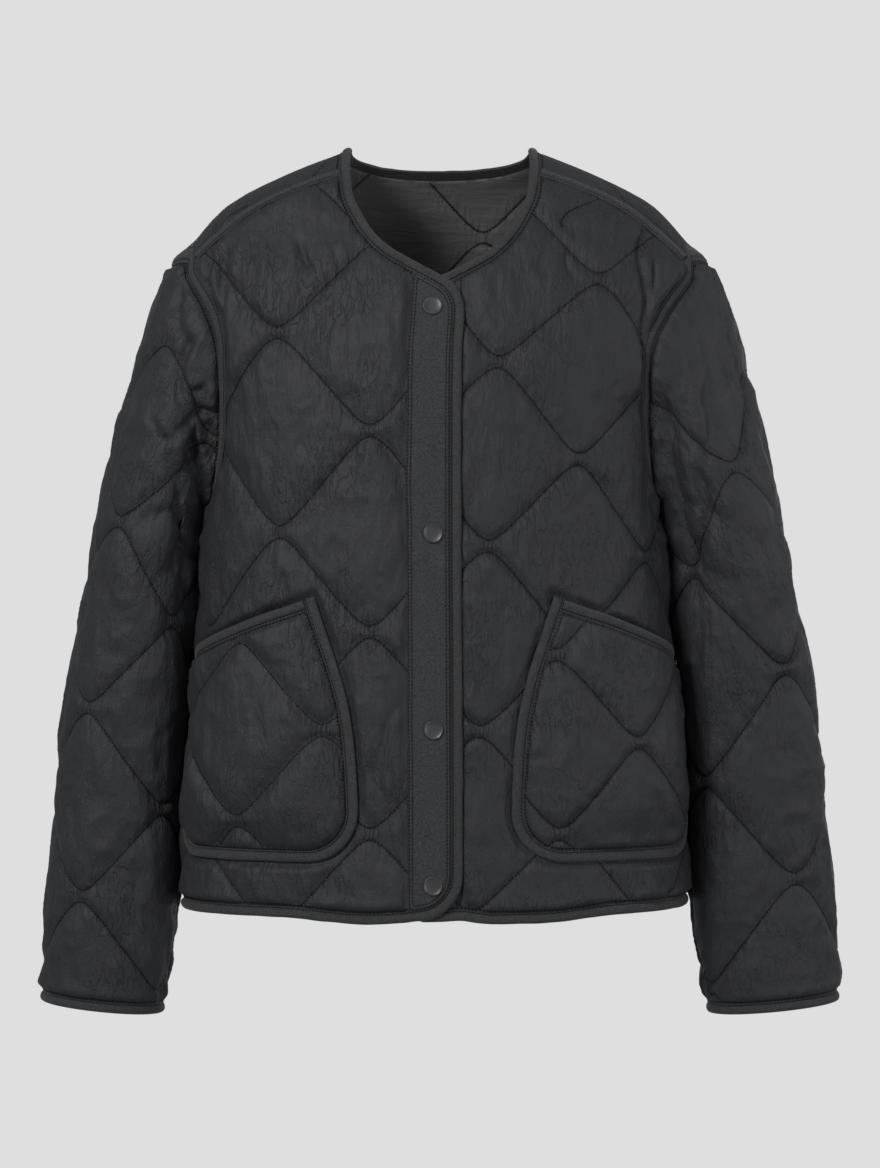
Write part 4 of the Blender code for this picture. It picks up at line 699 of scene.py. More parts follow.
class Armhole:
    """The seam between body and sleeve: down the front half from the shoulder seam, then up the back half."""

    least_wall_share = 0.55
    clearance = 0.0002
    seam_down = 0.010  # the way into the sleeve is read this far down it

    def __init__(self, side):
        self.side = side
        self.front = armhole_half(front_form, ARMHOLE_FRONT)
        self.back = armhole_half(back_form, ARMHOLE_BACK)
        self.front_marks = even_marks(self.front)
        self.back_marks = even_marks(self.back)
        front = beside(self.front, self.front_marks, 0)[::-1] * [side, 1]
        back = beside(self.back, self.back_marks, 0)[1:-1] * [side, 1]
        self.points = np.concatenate([front_form.at(*front.T), back_form.at(*back.T)])
        self.body_normals = np.concatenate([front_form.normal(*front.T), back_form.normal(*back.T)])
        self.top = int(np.argmax(self.points[:, 2]))
        self.bottom = len(front) - 1
        run = lengths(closed(self.points))
        down_front = (run[self.bottom] - run[self.top]) % run[-1]
        past = (run[:-1] - run[self.top]) % run[-1]
        self.turns = np.where(past <= down_front, past / down_front / 2,
                              (past - run[-1]) / (run[-1] - down_front) / 2)

    def at_turn(self, turns):
        """Points of the seam at any share of the round: 0 at the top, 0.5 at the underarm, front positive."""
        order = np.argsort(self.turns)
        known = self.turns[order]
        points = self.points[order]
        known = np.concatenate([[known[-1] - 1], known, [known[0] + 1]])
        points = np.concatenate([points[-1:], points, points[:1]])
        return np.stack([np.interp(turns, known, points[:, k]) for k in range(3)], axis=1)

    def meet(self, sleeve):
        """Sets the rise of the mitred cloth edge at each point, and the way from the seam into the sleeve."""
        top = sleeve.top(self.turns)
        normals = sleeve.normal(self.turns * sleeve.round_at(top), top)
        mitre = unit(self.body_normals + normals)
        cosine = np.maximum((mitre * self.body_normals).sum(axis=1), self.least_wall_share)
        self.rise = mitre * (EDGE_WALL / cosine)[:, None]
        ahead = np.roll(self.points, -1, axis=0) - np.roll(self.points, 1, axis=0)
        towards = unit(np.cross(ahead, mitre))
        lower = top - self.seam_down
        down = sleeve.at(self.turns * sleeve.round_at(lower), lower) - self.points
        self.towards = towards * np.sign((towards * down).sum(axis=1))[:, None]

    def rims(self, form, edge, first):
        """Places of a body panel's two faces along this seam, by place on the panel's outline."""
        result = {}
        for k, point in enumerate(edge):
            low = form.at(*point)
            nearest = int(np.argmin(np.linalg.norm(self.points - low, axis=1)))
            result[first + k] = (low, low + self.rise[nearest])
        return result

    def for_sleeve(self):
        """Shares of the round, in order, and the sleeve's two faces there, just clear of the body."""
        order = np.argsort(self.turns)
        order = order[np.abs(self.turns[order]) < 0.4999]
        order = np.concatenate([[self.bottom], order, [self.bottom]])
        turns = self.turns[order]
        turns[0] = -0.5
        turns[-1] = 0.5
        start = self.points + self.towards * self.clearance
        return turns, [(start[k], start[k] + self.rise[k]) for k in order]


def ring_outline(turns, width, depth, power):
    """Places round a superellipse by share of its length: (along the width, towards the front)."""
    angle = np.linspace(0, math.pi, 181)
    x = np.sign(np.cos(angle)) * np.abs(np.cos(angle)) ** (2 / power) * width
    y = np.abs(np.sin(angle)) ** (2 / power) * depth
    run = lengths(np.stack([x, y], axis=1))
    at = np.abs(turns) * 2 * run[-1]
    return np.interp(at, run, x), np.interp(at, run, y) * np.sign(turns)


Ring = namedtuple("Ring", "outer_x outer_z inner_x inner_z depth centre_y power")
Station = namedtuple("Station", ("place",) + Ring._fields)
SLEEVE = (
    Ring(0.2220, -0.0980, 0.1805, -0.2830, 0.072, 0.008, 2.0),
    Ring(0.2415, -0.1420, 0.1960, -0.2875, 0.075, 0.009, 2.1),
    Ring(0.2560, -0.1930, 0.2010, -0.3050, 0.075, 0.010, 2.2),
    Ring(0.2700, -0.2500, 0.2005, -0.3350, 0.072, 0.011, 2.3),
    Ring(0.2790, -0.3030, 0.2005, -0.3720, 0.069, 0.012, 2.3),
    Ring(0.2922, -0.3730, 0.2025, -0.4250, 0.065, 0.013, 2.3),
    Ring(0.3060, -0.4470, 0.2060, -0.4850, 0.060, 0.013, 2.3),
    Ring(0.3150, -0.5400, 0.2120, -0.5670, 0.054, 0.012, 2.2),
    Ring(0.3245, -0.6500, 0.2210, -0.6660, 0.046, 0.010, 2.1),
    Ring(0.3280, -0.6920, 0.2260, -0.7026, 0.043, 0.009, 2.1),
)
INNER_SHIFT = {"right": 0.0035, "left": -0.0038}
SLEEVE_COLUMNS = 73
SLEEVE_RINGS = 161
ARMHOLE_BLEND = 0.38
SLEEVE_FOLDS = (
    Fold(0.0900, 0.5050, 0.1150, 0.4400, 0.0040, 0.0100),
    Fold(0.1150, 0.4250, 0.0700, 0.3900, 0.0035, 0.0090),
    Fold(0.1350, 0.4100, 0.1050, 0.3500, 0.0038, 0.0090),
    Fold(0.0300, 0.5100, 0.0450, 0.4300, 0.0022, 0.0120),
    Fold(0.0650, 0.3400, 0.0700, 0.2300, 0.0028, 0.0110),
    Fold(-0.0900, 0.4950, -0.1120, 0.4300, 0.0036, 0.0100),
    Fold(-0.1200, 0.4050, -0.0750, 0.3650, 0.0032, 0.0100),
    Fold(-0.0600, 0.3200, -0.0700, 0.2000, 0.0024, 0.0120),
    Fold(0.1560, 0.4450, 0.1640, 0.3100, -0.0065, 0.0220),
    Fold(0.1100, 0.5150, 0.1320, 0.3300, 0.0085, 0.0200),
    Fold(-0.1560, 0.4450, -0.1640, 0.3100, -0.0065, 0.0240),
    Fold(-0.0050, 0.6100, 0.0150, 0.5000, 0.0042, 0.0420),
)


class SleeveForm(Form):
    """Lining side of a sleeve: rings from the armhole to the cuff, read on its unrolled pattern."""

    def __init__(self, name, side, armhole):
        self.across = np.linspace(-0.5, 0.5, SLEEVE_COLUMNS)
        self.up = np.arange(-0.010, 0.700, GRID_STEP)
        rings = self.rings(side, INNER_SHIFT[name])
        blend = 1 - smoothstep(np.linspace(0, 1, SLEEVE_RINGS) / ARMHOLE_BLEND)
        rings = rings + blend[:, None, None] * (armhole.at_turn(self.across) - rings[0])
        columns = [rings[::-1, k] for k in range(SLEEVE_COLUMNS)]
        self.full_lengths = np.array([lengths(column)[-1] for column in columns])
        points = np.array([self.read_column(column) for column in columns])
        self.round_lengths = self.measure_round(points)
        self.finish(points, -side, SLEEVE_FOLDS)

    def face(self):
        wrapped = np.concatenate([self.points[-2:-1], self.points, self.points[1:2]])
        across = np.gradient(wrapped, axis=0)[1:-1]
        up = np.gradient(self.points, axis=1)
        self.normals = unit(np.cross(across, up)) * self.outward

    def rings(self, side, shift):
        middle = [((row.outer_x + row.inner_x) / 2, (row.outer_z + row.inner_z) / 2) for row in SLEEVE]
        place = lengths(np.array(middle))
        table = [Station(*pair) for pair in zip(place, *zip(*SLEEVE))]
        places = np.linspace(0, place[-1], SLEEVE_RINGS)
        value = {name: read(table, "place", name, places) for name in Ring._fields}
        rings = []
        for k in range(SLEEVE_RINGS):
            outer = np.array([value["outer_x"][k], value["outer_z"][k]])
            inner = np.array([value["inner_x"][k], value["inner_z"][k]])
            inner[0] += shift * smoothstep(places[k] / place[3])
            ahead = unit(outer - inner)
            outer = outer - ahead * LOFT
            width = np.linalg.norm(outer - inner) / 2
            x, y = ring_outline(self.across, width, value["depth"][k], value["power"][k])
            centre = (outer + inner) / 2
            ring = [(centre[0] + ahead[0] * x) * side, value["centre_y"][k] - y, centre[1] + ahead[1] * x]
            rings.append(np.stack(ring, axis=1))
        return np.array(rings)

    def read_column(self, column):
        """Places up a column, carried straight on past its two ends."""
        run = lengths(column)
        points = np.stack([np.interp(self.up, run, column[:, k]) for k in range(3)], axis=1)
        for past, end, step in ((self.up < 0, 0, column[1] - column[0]),
                                (self.up > run[-1], -1, column[-1] - column[-2])):
            points[past] = column[end] + unit(step) * (self.up[past] - run[end])[:, None]
        return points

    def measure_round(self, points):
        """Length round the sleeve at each place up it, from the columns that reach that far."""
        gaps = np.linalg.norm(np.diff(points, axis=0), axis=2)
        reach = np.minimum(self.full_lengths[1:], self.full_lengths[:-1])
        result = []
        for k, up in enumerate(self.up):
            here = gaps[reach >= min(up, reach.max() - 0.01), k]
            result.append(here.mean() * (SLEEVE_COLUMNS - 1))
        return np.convolve(np.pad(result, 4, mode="edge"), np.ones(9) / 9, mode="valid")

    def round_at(self, up):
        return np.interp(up, self.up, self.round_lengths)

    def width(self, across, up):
        return across * self.round_at(up)

    def column(self, across, up):
        return across / self.round_at(up)

    def top(self, turns):
        """Length of the sleeve from cuff to armhole at these shares of the round."""
        return np.interp(turns, self.across, self.full_lengths)


def wave_shape(t):
    """Zigzag with straight runs and rounded turns: 1 at t = 0, -1 at t = 1."""
    return np.arcsin(TURN_SHARPNESS * np.cos(math.pi * t)) / math.asin(TURN_SHARPNESS)


class Quilting:
    """Stitched waves over a panel, each the mirror of the next."""

    def __init__(self, plan, outline, extra=()):
        self.plan = plan
        turn = math.radians(plan.turn)
        self.axes = np.array([[math.cos(turn), math.sin(turn)], [-math.sin(turn), math.cos(turn)]])
        self.swing = (plan.row - NODE_APPROACH) / 2
        low = self.to_plan(outline).min(axis=0)
        high = self.to_plan(outline).max(axis=0)
        first = int(math.floor(low[1] / plan.row)) - 1
        last = int(math.ceil(high[1] / plan.row)) + 1
        p = np.arange(low[0] - 0.01, high[0] + 0.01, FINE / 2)
        self.waves = [self.from_plan(p, self.height(k, p)) for k in range(first, min(last, plan.top))]
        self.waves += [through(rows, 40) for rows in extra]
        self.lines = Lines(self.waves)

    def to_plan(self, points):
        return (points - [self.plan.across, self.plan.up]) @ self.axes.T

    def from_plan(self, p, q):
        return np.stack([p, q], axis=1) @ self.axes + [self.plan.across, self.plan.up]

    def height(self, k, p):
        """Place of wave k up the plan; waves k and k - 1 come together at p = 0 for even k."""
        return (k + 0.5) * self.plan.row - (-1.0) ** k * self.swing * wave_shape(p / self.plan.half)

    def relief(self, points, away, run, number, seed):
        """Share of full puff, small gathers beside the stitches, and how near two waves come together."""
        puff = 1 - (1 - np.clip(away / CROWN_REACH, 0, 1)) ** PUFF_POWER
        across, up = points.T
        gathers = gathered(run, away, STITCH_GATHERS, seed, number)
        gathers += gathered(across + UPRIGHT_LEAN * up, away, UPRIGHT_GATHERS, seed + 2)
        p, q = self.to_plan(points).T
        k = np.round(q / self.plan.row)
        near_p = p - self.plan.half * (k % 2)
        near_p = near_p - np.round(near_p / (2 * self.plan.half)) * 2 * self.plan.half
        near_q = q - k * self.plan.row
        knot = np.exp(-(near_p / KNOT_WIDTH) ** 4 - (near_q / KNOT_HEIGHT) ** 4)
        wide = np.exp(-(near_p / KNOT_FAN.reach) ** 2 - (near_q / KNOT_FAN_HEIGHT) ** 2)
        fan = near_p * (1 - KNOT_FAN_SPREAD * np.abs(near_q)) + KNOT_FAN.shift * k
        gathers += KNOT_FAN.height * wide * ripple(fan, KNOT_FAN.pitch, seed + 3)
        return puff, gathers * (1 - np.exp(-away / STITCH_START)), knot, near_p


def started(away, start):
    """Share of a relief at a distance from a stitched line."""
    return smoothstep(away / start.reach + start.least)


class Dressing:
    """The two faces of a quilted panel over its form: how far out each stands, and its stitched places."""

    def __init__(self, outline, plan, crown, creases=(), seams=(), showing=None, seed=1, extra=()):
        self.outline = outline
        self.quilting = Quilting(plan, outline, extra)
        self.edge = Lines([closed(outline)])
        self.seams = [(Lines([line]), margin) for line, margin in seams]
        self.crown = crown
        self.creases = creases
        self.showing = showing
        self.seed = seed

    def read(self, points):
        """Outer and inner face's distance from the form, and the measures that the finish reads."""
        away, run, number = self.quilting.lines.near(points)
        edge, edge_run, _ = self.edge.near(points)
        full = smoothstep(edge / SEAM_FADE)
        free = smoothstep(edge / CREASE_EDGE_FADE)
        seam_gathers = np.zeros(len(points))
        for k, (line, margin) in enumerate(self.seams):
            apart, apart_run, _ = line.near(points)
            full = full * smoothstep((apart - margin) / SEAM_FADE)
            free = free * smoothstep((apart - margin + CREASE_UNDER_TAPE) / CREASE_SEAM_FADE)
            apart = np.maximum(apart - margin, 0)
            seam_gathers += gathered(apart_run, apart, SEAM_GATHERS, self.seed + 40 + k)
        if self.showing is not None:
            level = self.showing(points)
            full = full * level
            free = free * np.clip(level * 3, 0, 1)
        puff, gathers, knot, knot_across = self.quilting.relief(points, away, run, number, self.seed)
        edge_gathers = gathered(edge_run, edge, EDGE_GATHERS, self.seed + 7)
        edge_gathers *= 1 - np.exp(-edge / EDGE_START)
        crumple = SOFT_CRUMPLE.height * lumps(points, SOFT_CRUMPLE.size, self.seed + 11)
        for k, row in enumerate(SHARP_CRUMPLES, 12):
            crumple += row.height * (1 - 2 * np.abs(lumps(points * [1.0, row.up], row.size, self.seed + k)))
        gathers = gathers * (FLAT_GATHERS + (1 - FLAT_GATHERS) * full)
        out = EDGE_WALL + self.crown * puff * full + gathers + edge_gathers
        out += seam_gathers * smoothstep(full * 2 + 0.2) + crumple * full * started(away, CRUMPLE_START)
        out = np.maximum(out, LEAST_OUT)
        out -= crease_depth(self.creases, points) * free * started(away, CREASE_START)
        lining = -LINING_PUFF * puff * full - LINING_GATHERS * gathers
        measures = {"stitch": away, "stitch_run": run, "edge": edge, "edge_run": edge_run, "knot": knot,
                    "knot_across": knot_across}
        return out, np.minimum(lining, out - LEAST_WALL), measures


RIM_CLEAR = 0.6  # of the spacing: drawn lines stay this far from the outline,
LINE_CLEAR = 0.5  # this far from each other,
FILL_CLEAR = 0.55  # and the places between them this far from both
ROWS_APART = 0.866


def cloth_points(outline, lines, spacing):
    """Outline, drawn lines and evenly spread places of a panel's pattern, with the edges to keep."""
    points = [tuple(point) for point in outline]
    edges = [(k, (k + 1) % len(outline)) for k in range(len(outline))]
    rim = Lines([closed(outline)])
    kept = []
    for line in lines:
        line = spaced(line, spacing)
        free = inside(outline, line) & (rim.away(line) > spacing * RIM_CLEAR)
        if kept:
            tree = tree_of(kept)
            free &= np.array([tree.find((*point, 0.0))[2] for point in line]) > spacing * LINE_CLEAR
        for k, point in enumerate(line):
            if not free[k]:
                continue
            if k and free[k - 1]:
                edges.append((len(points) - 1, len(points)))
            points.append(tuple(point))
            kept.append(tuple(point))
    low = outline.min(axis=0)
    high = outline.max(axis=0)
    rows = np.arange(low[1], high[1], spacing * ROWS_APART)
    across = np.arange(low[0], high[0], spacing)
    fill = np.array([(x + (row % 2) * spacing / 2, y) for row, y in enumerate(rows) for x in across])
    fill = fill[inside(outline, fill)]
    fill = fill[rim.away(fill) > spacing * FILL_CLEAR]
    if kept:
        tree = tree_of(kept)
        fill = fill[np.array([tree.find((*point, 0.0))[2] for point in fill]) > spacing * FILL_CLEAR]
    return points + [tuple(point) for point in fill], edges


def area_inside(outline):
    """Area of an outline, below zero where it runs clockwise."""
    ahead = np.roll(outline, -1, axis=0)
    return (outline[:, 0] * ahead[:, 1] - outline[:, 1] * ahead[:, 0]).sum() / 2


def cut_flat(outline, lines, spacing):
    """Places and triangles of a flat cut, and the number there of each place of its outline."""
    points, edges = cloth_points(outline, lines, spacing)
    rim = list(range(len(outline)))
    if area_inside(outline) < 0:
        rim = rim[::-1]
    cut = delaunay_2d_cdt([Vector(point) for point in points], edges, [rim], 1, 1e-7)
    flat = np.array([(point.x, point.y) for point in cut[0]])
    return flat, np.array(cut[2]), {old: new for new, olds in enumerate(cut[3]) for old in olds}


def closed_wall(faces, size):
    """Triangles of an outer face, of the inner one behind it, and of a strip round their open edges."""
    pairs = {(a, b) for tri in faces.tolist() for a, b in zip(tri, tri[1:] + tri[:1])}
    a, b = np.array(sorted(pair for pair in pairs if pair[::-1] not in pairs)).T
    return np.concatenate([faces, faces[:, ::-1] + size, np.stack([b, a, a + size], axis=1),
                           np.stack([b, a + size, b + size], axis=1)])


def keep_measures(mesh, measures):
    """Stores a number at each place of a mesh, under each name, for its finish to read."""
    for label, values in measures.items():
        mesh.attributes.new(label, "FLOAT", "POINT").data.foreach_set("value", values)


def in_edit_mode(piece, step):
    """Runs one modelling step on the whole of one piece."""
    bpy.ops.object.select_all(action="DESELECT")
    piece.select_set(True)
    bpy.context.view_layer.objects.active = piece
    bpy.ops.object.mode_set(mode="EDIT")
    bpy.ops.mesh.select_all(action="SELECT")
    step()
    bpy.ops.object.mode_set(mode="OBJECT")


def sew_panel(name, dressing, place, rims=None, sewn=(), spacing=CLOTH_GRID):
    """A closed quilted panel over its pattern. `rims` fixes its two faces at some outline places, and `sewn`
    pairs of outline places become one to close a tube."""
    flat, drawn, where = cut_flat(dressing.outline, dressing.quilting.waves, spacing)
    out, lining, measures = dressing.read(flat)
    upper = place(flat, out)
    lower = place(flat, lining)
    for k, (low, high) in (rims or {}).items():
        lower[where[k]] = low
        upper[where[k]] = high
    index = np.arange(len(flat))
    for old, new in sewn:
        index[where[old]] = where[new]
    faces = index[drawn]
    whole = (faces[:, 0] != faces[:, 1]) & (faces[:, 1] != faces[:, 2]) & (faces[:, 2] != faces[:, 0])
    drawn, faces = drawn[whole], faces[whole]
    solid = closed_wall(faces, len(flat))
    on_pattern = np.concatenate([drawn, drawn[:, ::-1], solid[2 * len(faces):] % len(flat)])
    mesh = bpy.data.meshes.new(name)
    mesh.from_pydata(np.concatenate([upper, lower]).tolist(), [], solid.tolist())
    pattern = mesh.uv_layers.new(name="pattern")
    pattern.data.foreach_set("uv", flat[on_pattern.reshape(-1)].reshape(-1))
    keep_measures(mesh, {label: np.tile(values, 2) for label, values in measures.items()})
    if (mesh.polygons[0].normal @ Vector(place(flat[:1], [1.0])[0] - place(flat[:1], [0.0])[0])) < 0:
        mesh.flip_normals()
    inner = np.zeros(len(solid), int)
    inner[len(faces):2 * len(faces)] = 1
    mesh.polygons.foreach_set("material_index", inner)
    mesh.shade_smooth()
    for cloth in (nylon, lining_satin):
        mesh.materials.append(cloth)
    piece = put(name, mesh)
    in_edit_mode(piece, bpy.ops.mesh.delete_loose)
    return piece


def declare_cloth(piece, outline, node):
    """Hangs a cloth panel from the root and hides the part of the node that it stands for; the size and area
    of its cut are worked out but not used.
    """
    width, length = outline.max(axis=0) - outline.min(axis=0)
    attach(piece, "root")
    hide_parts(node)
    area = min(abs(area_inside(outline)), width * length)


class Term:
    """One number or colour of a finish, as it varies over the cloth."""

    def __init__(self, finish, socket):
        self.finish = finish
        self.socket = socket

    def maths(self, operation, first, second):
        return self.finish.node("ShaderNodeMath", {"operation": operation}, {0: first, 1: second})

    def __add__(self, other):
        return self.maths("ADD", self, other)

    __radd__ = __add__

    def __sub__(self, other):
        return self.maths("SUBTRACT", self, other)

    def __rsub__(self, other):
        return self.maths("SUBTRACT", other, self)

    def __mul__(self, other):
        return self.maths("MULTIPLY", self, other)

    __rmul__ = __mul__

    def __truediv__(self, other):
        return self.maths("DIVIDE", self, other)

    def __neg__(self):
        return self.maths("SUBTRACT", 0.0, self)

    def __lt__(self, other):
        return self.maths("LESS_THAN", self, other)

    def size(self):
        return self.maths("ABSOLUTE", self, 0.0)

    def repeat(self, length):
        """Share of the way through each length."""
        return self.maths("FRACT", self / length, 0.0)


class Finish:
    """A material under construction."""

    def __init__(self, name, roughness, sheen=0.0, specular=0.5):
        self.material = bpy.data.materials.new(name)
        self.material.use_nodes = True
        self.nodes = self.material.node_tree.nodes
        self.links = self.material.node_tree.links
        self.shader = self.nodes["Principled BSDF"]
        self.shader.inputs["Roughness"].default_value = roughness
        self.shader.inputs["Sheen Weight"].default_value = sheen
        self.shader.inputs["Sheen Roughness"].default_value = 0.45
        self.shader.inputs["Specular IOR Level"].default_value = specular

    def node(self, kind, settings, sockets, output=0):
        made = self.nodes.new(kind)
        for name, value in settings.items():
            setattr(made, name, value)
        for name, value in sockets.items():
            if isinstance(value, Term):
                self.links.new(value.socket, made.inputs[name])
            else:
                made.inputs[name].default_value = value
        return Term(self, made.outputs[output])

    def attribute(self, name):
        return self.node("ShaderNodeAttribute", {"attribute_name": name}, {}, "Fac")

    def object_place(self):
        return self.node("ShaderNodeTexCoord", {}, {}, "Object")

    def pattern(self):
        return self.node("ShaderNodeUVMap", {"uv_map": "pattern"}, {}, "UV")

    def noise(self, place, scale, detail, roughness, distortion=0.0):
        sockets = {"Vector": place, "Scale": scale, "Detail": detail, "Roughness": roughness,
                   "Distortion": distortion}
        return self.node("ShaderNodeTexNoise", {}, sockets, "Fac")

    def streaks(self, pattern, across, up, detail, roughness, distortion=0.0):
        """Noise on the cloth's own pattern, with its own scale across and up."""
        sockets = {0: pattern, 1: (across, up, 1.0)}
        place = self.node("ShaderNodeVectorMath", {"operation": "MULTIPLY"}, sockets)
        return self.noise(place, 1.0, detail, roughness, distortion)

    def rise(self, value, low, high):
        """0 below `low`, 1 above `high`, smooth between."""
        sockets = {"Value": value, "From Min": low, "From Max": high, "To Min": 0.0, "To Max": 1.0}
        return self.node("ShaderNodeMapRange", {"interpolation_type": "SMOOTHSTEP"}, sockets)

    def fall(self, value, low, high):
        """1 below `low`, 0 above `high`, smooth between."""
        return 1.0 - self.rise(value, low, high)

    def mix(self, share, first, second):
        sockets = {0: share, 6: first, 7: second}
        return self.node("ShaderNodeMix", {"data_type": "RGBA"}, sockets, 2)

    def give(self, name, term):
        self.links.new(term.socket, self.shader.inputs[name])

    def paint(self, colour, layers):
        """Base colour, under layers given as share and colour."""
        for share, tint in layers:
            colour = self.mix(share, colour, tint)
        self.give("Base Color", colour)

    def emboss(self, layers):
        """Relief in the normal alone, from layers given as height, strength and depth in metres."""
        before = {}
        for height, strength, depth in layers:
            sockets = {"Height": height, "Strength": strength, "Distance": depth, **before}
            before = {"Normal": self.node("ShaderNodeBump", {}, sockets)}
        self.give("Normal", before["Normal"])


SHELL_COLOUR = (0.0150, 0.0154, 0.0176, 1.0)
SHELL_WORN = (0.0440, 0.0450, 0.0500, 1.0)
# painted shade: near-black laid into the base colour where stitch grooves, pressed creases and pucker valleys
# sink
PAINTED_GROOVE_SHADE = (0.0040, 0.0040, 0.0045, 1.0)
THREAD_COLOUR = (0.0018, 0.0018, 0.0020, 1.0)
LINING_COLOUR = (0.1050, 0.1020, 0.1000, 1.0)
LINING_LIGHT = (0.1350, 0.1310, 0.1280, 1.0)
STITCH_LENGTH = 0.0029
STITCH_SHARE = 0.56  # of that length, the rest being the gap between two stitches
STITCH_HALF = 0.00100
PUCKER_PITCH = 0.0034  # small upright puckers stand this far apart where two waves come together
EDGE_STITCH = 0.0018  # a row of stitches shows this far inside the bound edge


def stitched(away, run, half=STITCH_HALF):
    """Share of thread at a place beside a stitched line, in separate stitches."""
    return (away < half) * (run.repeat(STITCH_LENGTH) < STITCH_SHARE)


def nylon_shell():
    """Washed nylon, crumpled and gathered at the stitches, with near-black thread in each groove, and painted
    shade along its grooves, sharp creases and knot puckers.
    """
    finish = Finish("washed_nylon", 0.56, sheen=0.03, specular=0.34)
    place = finish.object_place()
    flat = finish.pattern()
    stitch = finish.attribute("stitch")
    edge = finish.attribute("edge")
    groove = finish.fall(stitch, 0.0003, 0.0013)
    row = (edge - EDGE_STITCH).size()
    row_groove = finish.fall(row, 0.0002, 0.0011)
    near = finish.fall(stitch, 0.0010, 0.0120)
    by_edge = finish.fall(edge, 0.0015, 0.0130)
    cloudy = finish.noise(place, 24.0, 4.0, 0.6)
    patch = finish.rise(finish.noise(place, 17.0, 2.0, 0.5), 0.42, 0.62)
    long_crease = finish.streaks(flat, 150.0, 46.0, 3.0, 0.55, 0.35)
    sharp = finish.fall((long_crease - 0.5).size(), 0.0, 0.045) * patch
    gather = finish.streaks(flat, 290.0, 62.0, 2.0, 0.5, 0.5)
    crumple = finish.streaks(flat, 170.0, 105.0, 4.0, 0.60, 0.2)
    fine = finish.noise(place, 520.0, 4.0, 0.65)
    grain = finish.noise(place, 1250.0, 2.0, 0.65)
    uneven = finish.noise(place, 210.0, 1.0, 0.5)
    pucker = ((finish.attribute("knot_across") + uneven * 0.0042).repeat(PUCKER_PITCH) - 0.5).size()
    in_knot = finish.rise(finish.attribute("knot"), 0.40, 0.80)
    ticks = finish.fall(pucker, 0.04, 0.22) * in_knot * (0.25 + uneven * 1.3)
    shade = cloudy * 0.22 + crumple * 0.12 + fine * 0.28 + finish.rise(grain, 0.30, 0.72) * 0.55 - 0.12
    # Painted shade: sharp crease lines, the stitch grooves, the edge stitch row and the puckers where two
    # waves meet are darkened in the base colour, over their relief in the normal; the thread is its own
    # colour.
    finish.paint(SHELL_COLOUR, (
        (shade, SHELL_WORN),
        (sharp * 0.30, PAINTED_GROOVE_SHADE),
        (groove * 0.42, PAINTED_GROOVE_SHADE),
        (row_groove * 0.30, PAINTED_GROOVE_SHADE),
        (ticks * 0.50, PAINTED_GROOVE_SHADE),
        (stitched(stitch, finish.attribute("stitch_run")) * 0.95, THREAD_COLOUR),
        (stitched(row, finish.attribute("edge_run")) * 0.95, THREAD_COLOUR),
    ))
    finish.give("Roughness", 0.50 + fine * 0.16)
    finish.emboss((
        (long_crease, 0.62, 0.0030),
        (-sharp, 0.60, 0.0008),
        (gather * (near * 0.85 + by_edge * 0.7), 0.90, 0.0026),
        (crumple, 0.34, 0.0018),
        (fine, 0.60, 0.0008),
        (grain, 0.35, 0.0003),
        (-groove - row_groove, 0.7, 0.0008),
        (-ticks, 0.7, 0.0009),
    ))
    return finish.material


def satin_lining():
    """Smooth warm charcoal lining, softly creased across, with the same stitched waves showing through as
    thread and painted shade.
    """
    finish = Finish("satin_lining", 0.46, sheen=0.10, specular=0.40)
    place = finish.object_place()
    flat = finish.pattern()
    stitch = finish.attribute("stitch")
    near = finish.fall(stitch, 0.0010, 0.0150)
    soft = finish.noise(place, 40.0, 4.0, 0.55, 0.4)
    weave = finish.noise(place, 1500.0, 2.0, 0.5)
    finish.paint(LINING_COLOUR, (
        (soft * 0.7 + weave * 0.3, LINING_LIGHT),
        # painted shade along each stitch line, where the lining dips
        (finish.fall(stitch, 0.0004, 0.0018) * 0.75, PAINTED_GROOVE_SHADE),
        (stitched(stitch, finish.attribute("stitch_run")) * 0.8, THREAD_COLOUR),
    ))
    finish.give("Roughness", 0.40 + soft * 0.14)
    finish.emboss((
        (finish.streaks(flat, 26.0, 120.0, 3.0, 0.55, 0.6), 0.60, 0.0022),
        (finish.streaks(flat, 230.0, 60.0, 2.0, 0.5, 0.5) * near, 0.80, 0.0024),
        (soft, 0.35, 0.0014),
        (weave, 0.15, 0.0002),
    ))
    return finish.material


nylon = nylon_shell()
lining_satin = satin_lining()


def hem_up(across):
    return read(HEM_EDGE, "across", "up", across)


def on_form(form):
    """Placing function for cloth that lies straight on a form."""

    def place(points, out):
        return form.at(points[:, 0], points[:, 1], out)

    return place


def on_front(name):
    """Placing function for a front: the right one rises over the left one towards the centre line."""
    lift = OVERLAP_LIFT if name == "front_right" else 0.0

    def place(points, out):
        rise = lift * smoothstep((points[:, 0] - LIFT_START) / LIFT_RUN)
        return front_form.at(points[:, 0], points[:, 1], np.asarray(out) + rise)

    return place


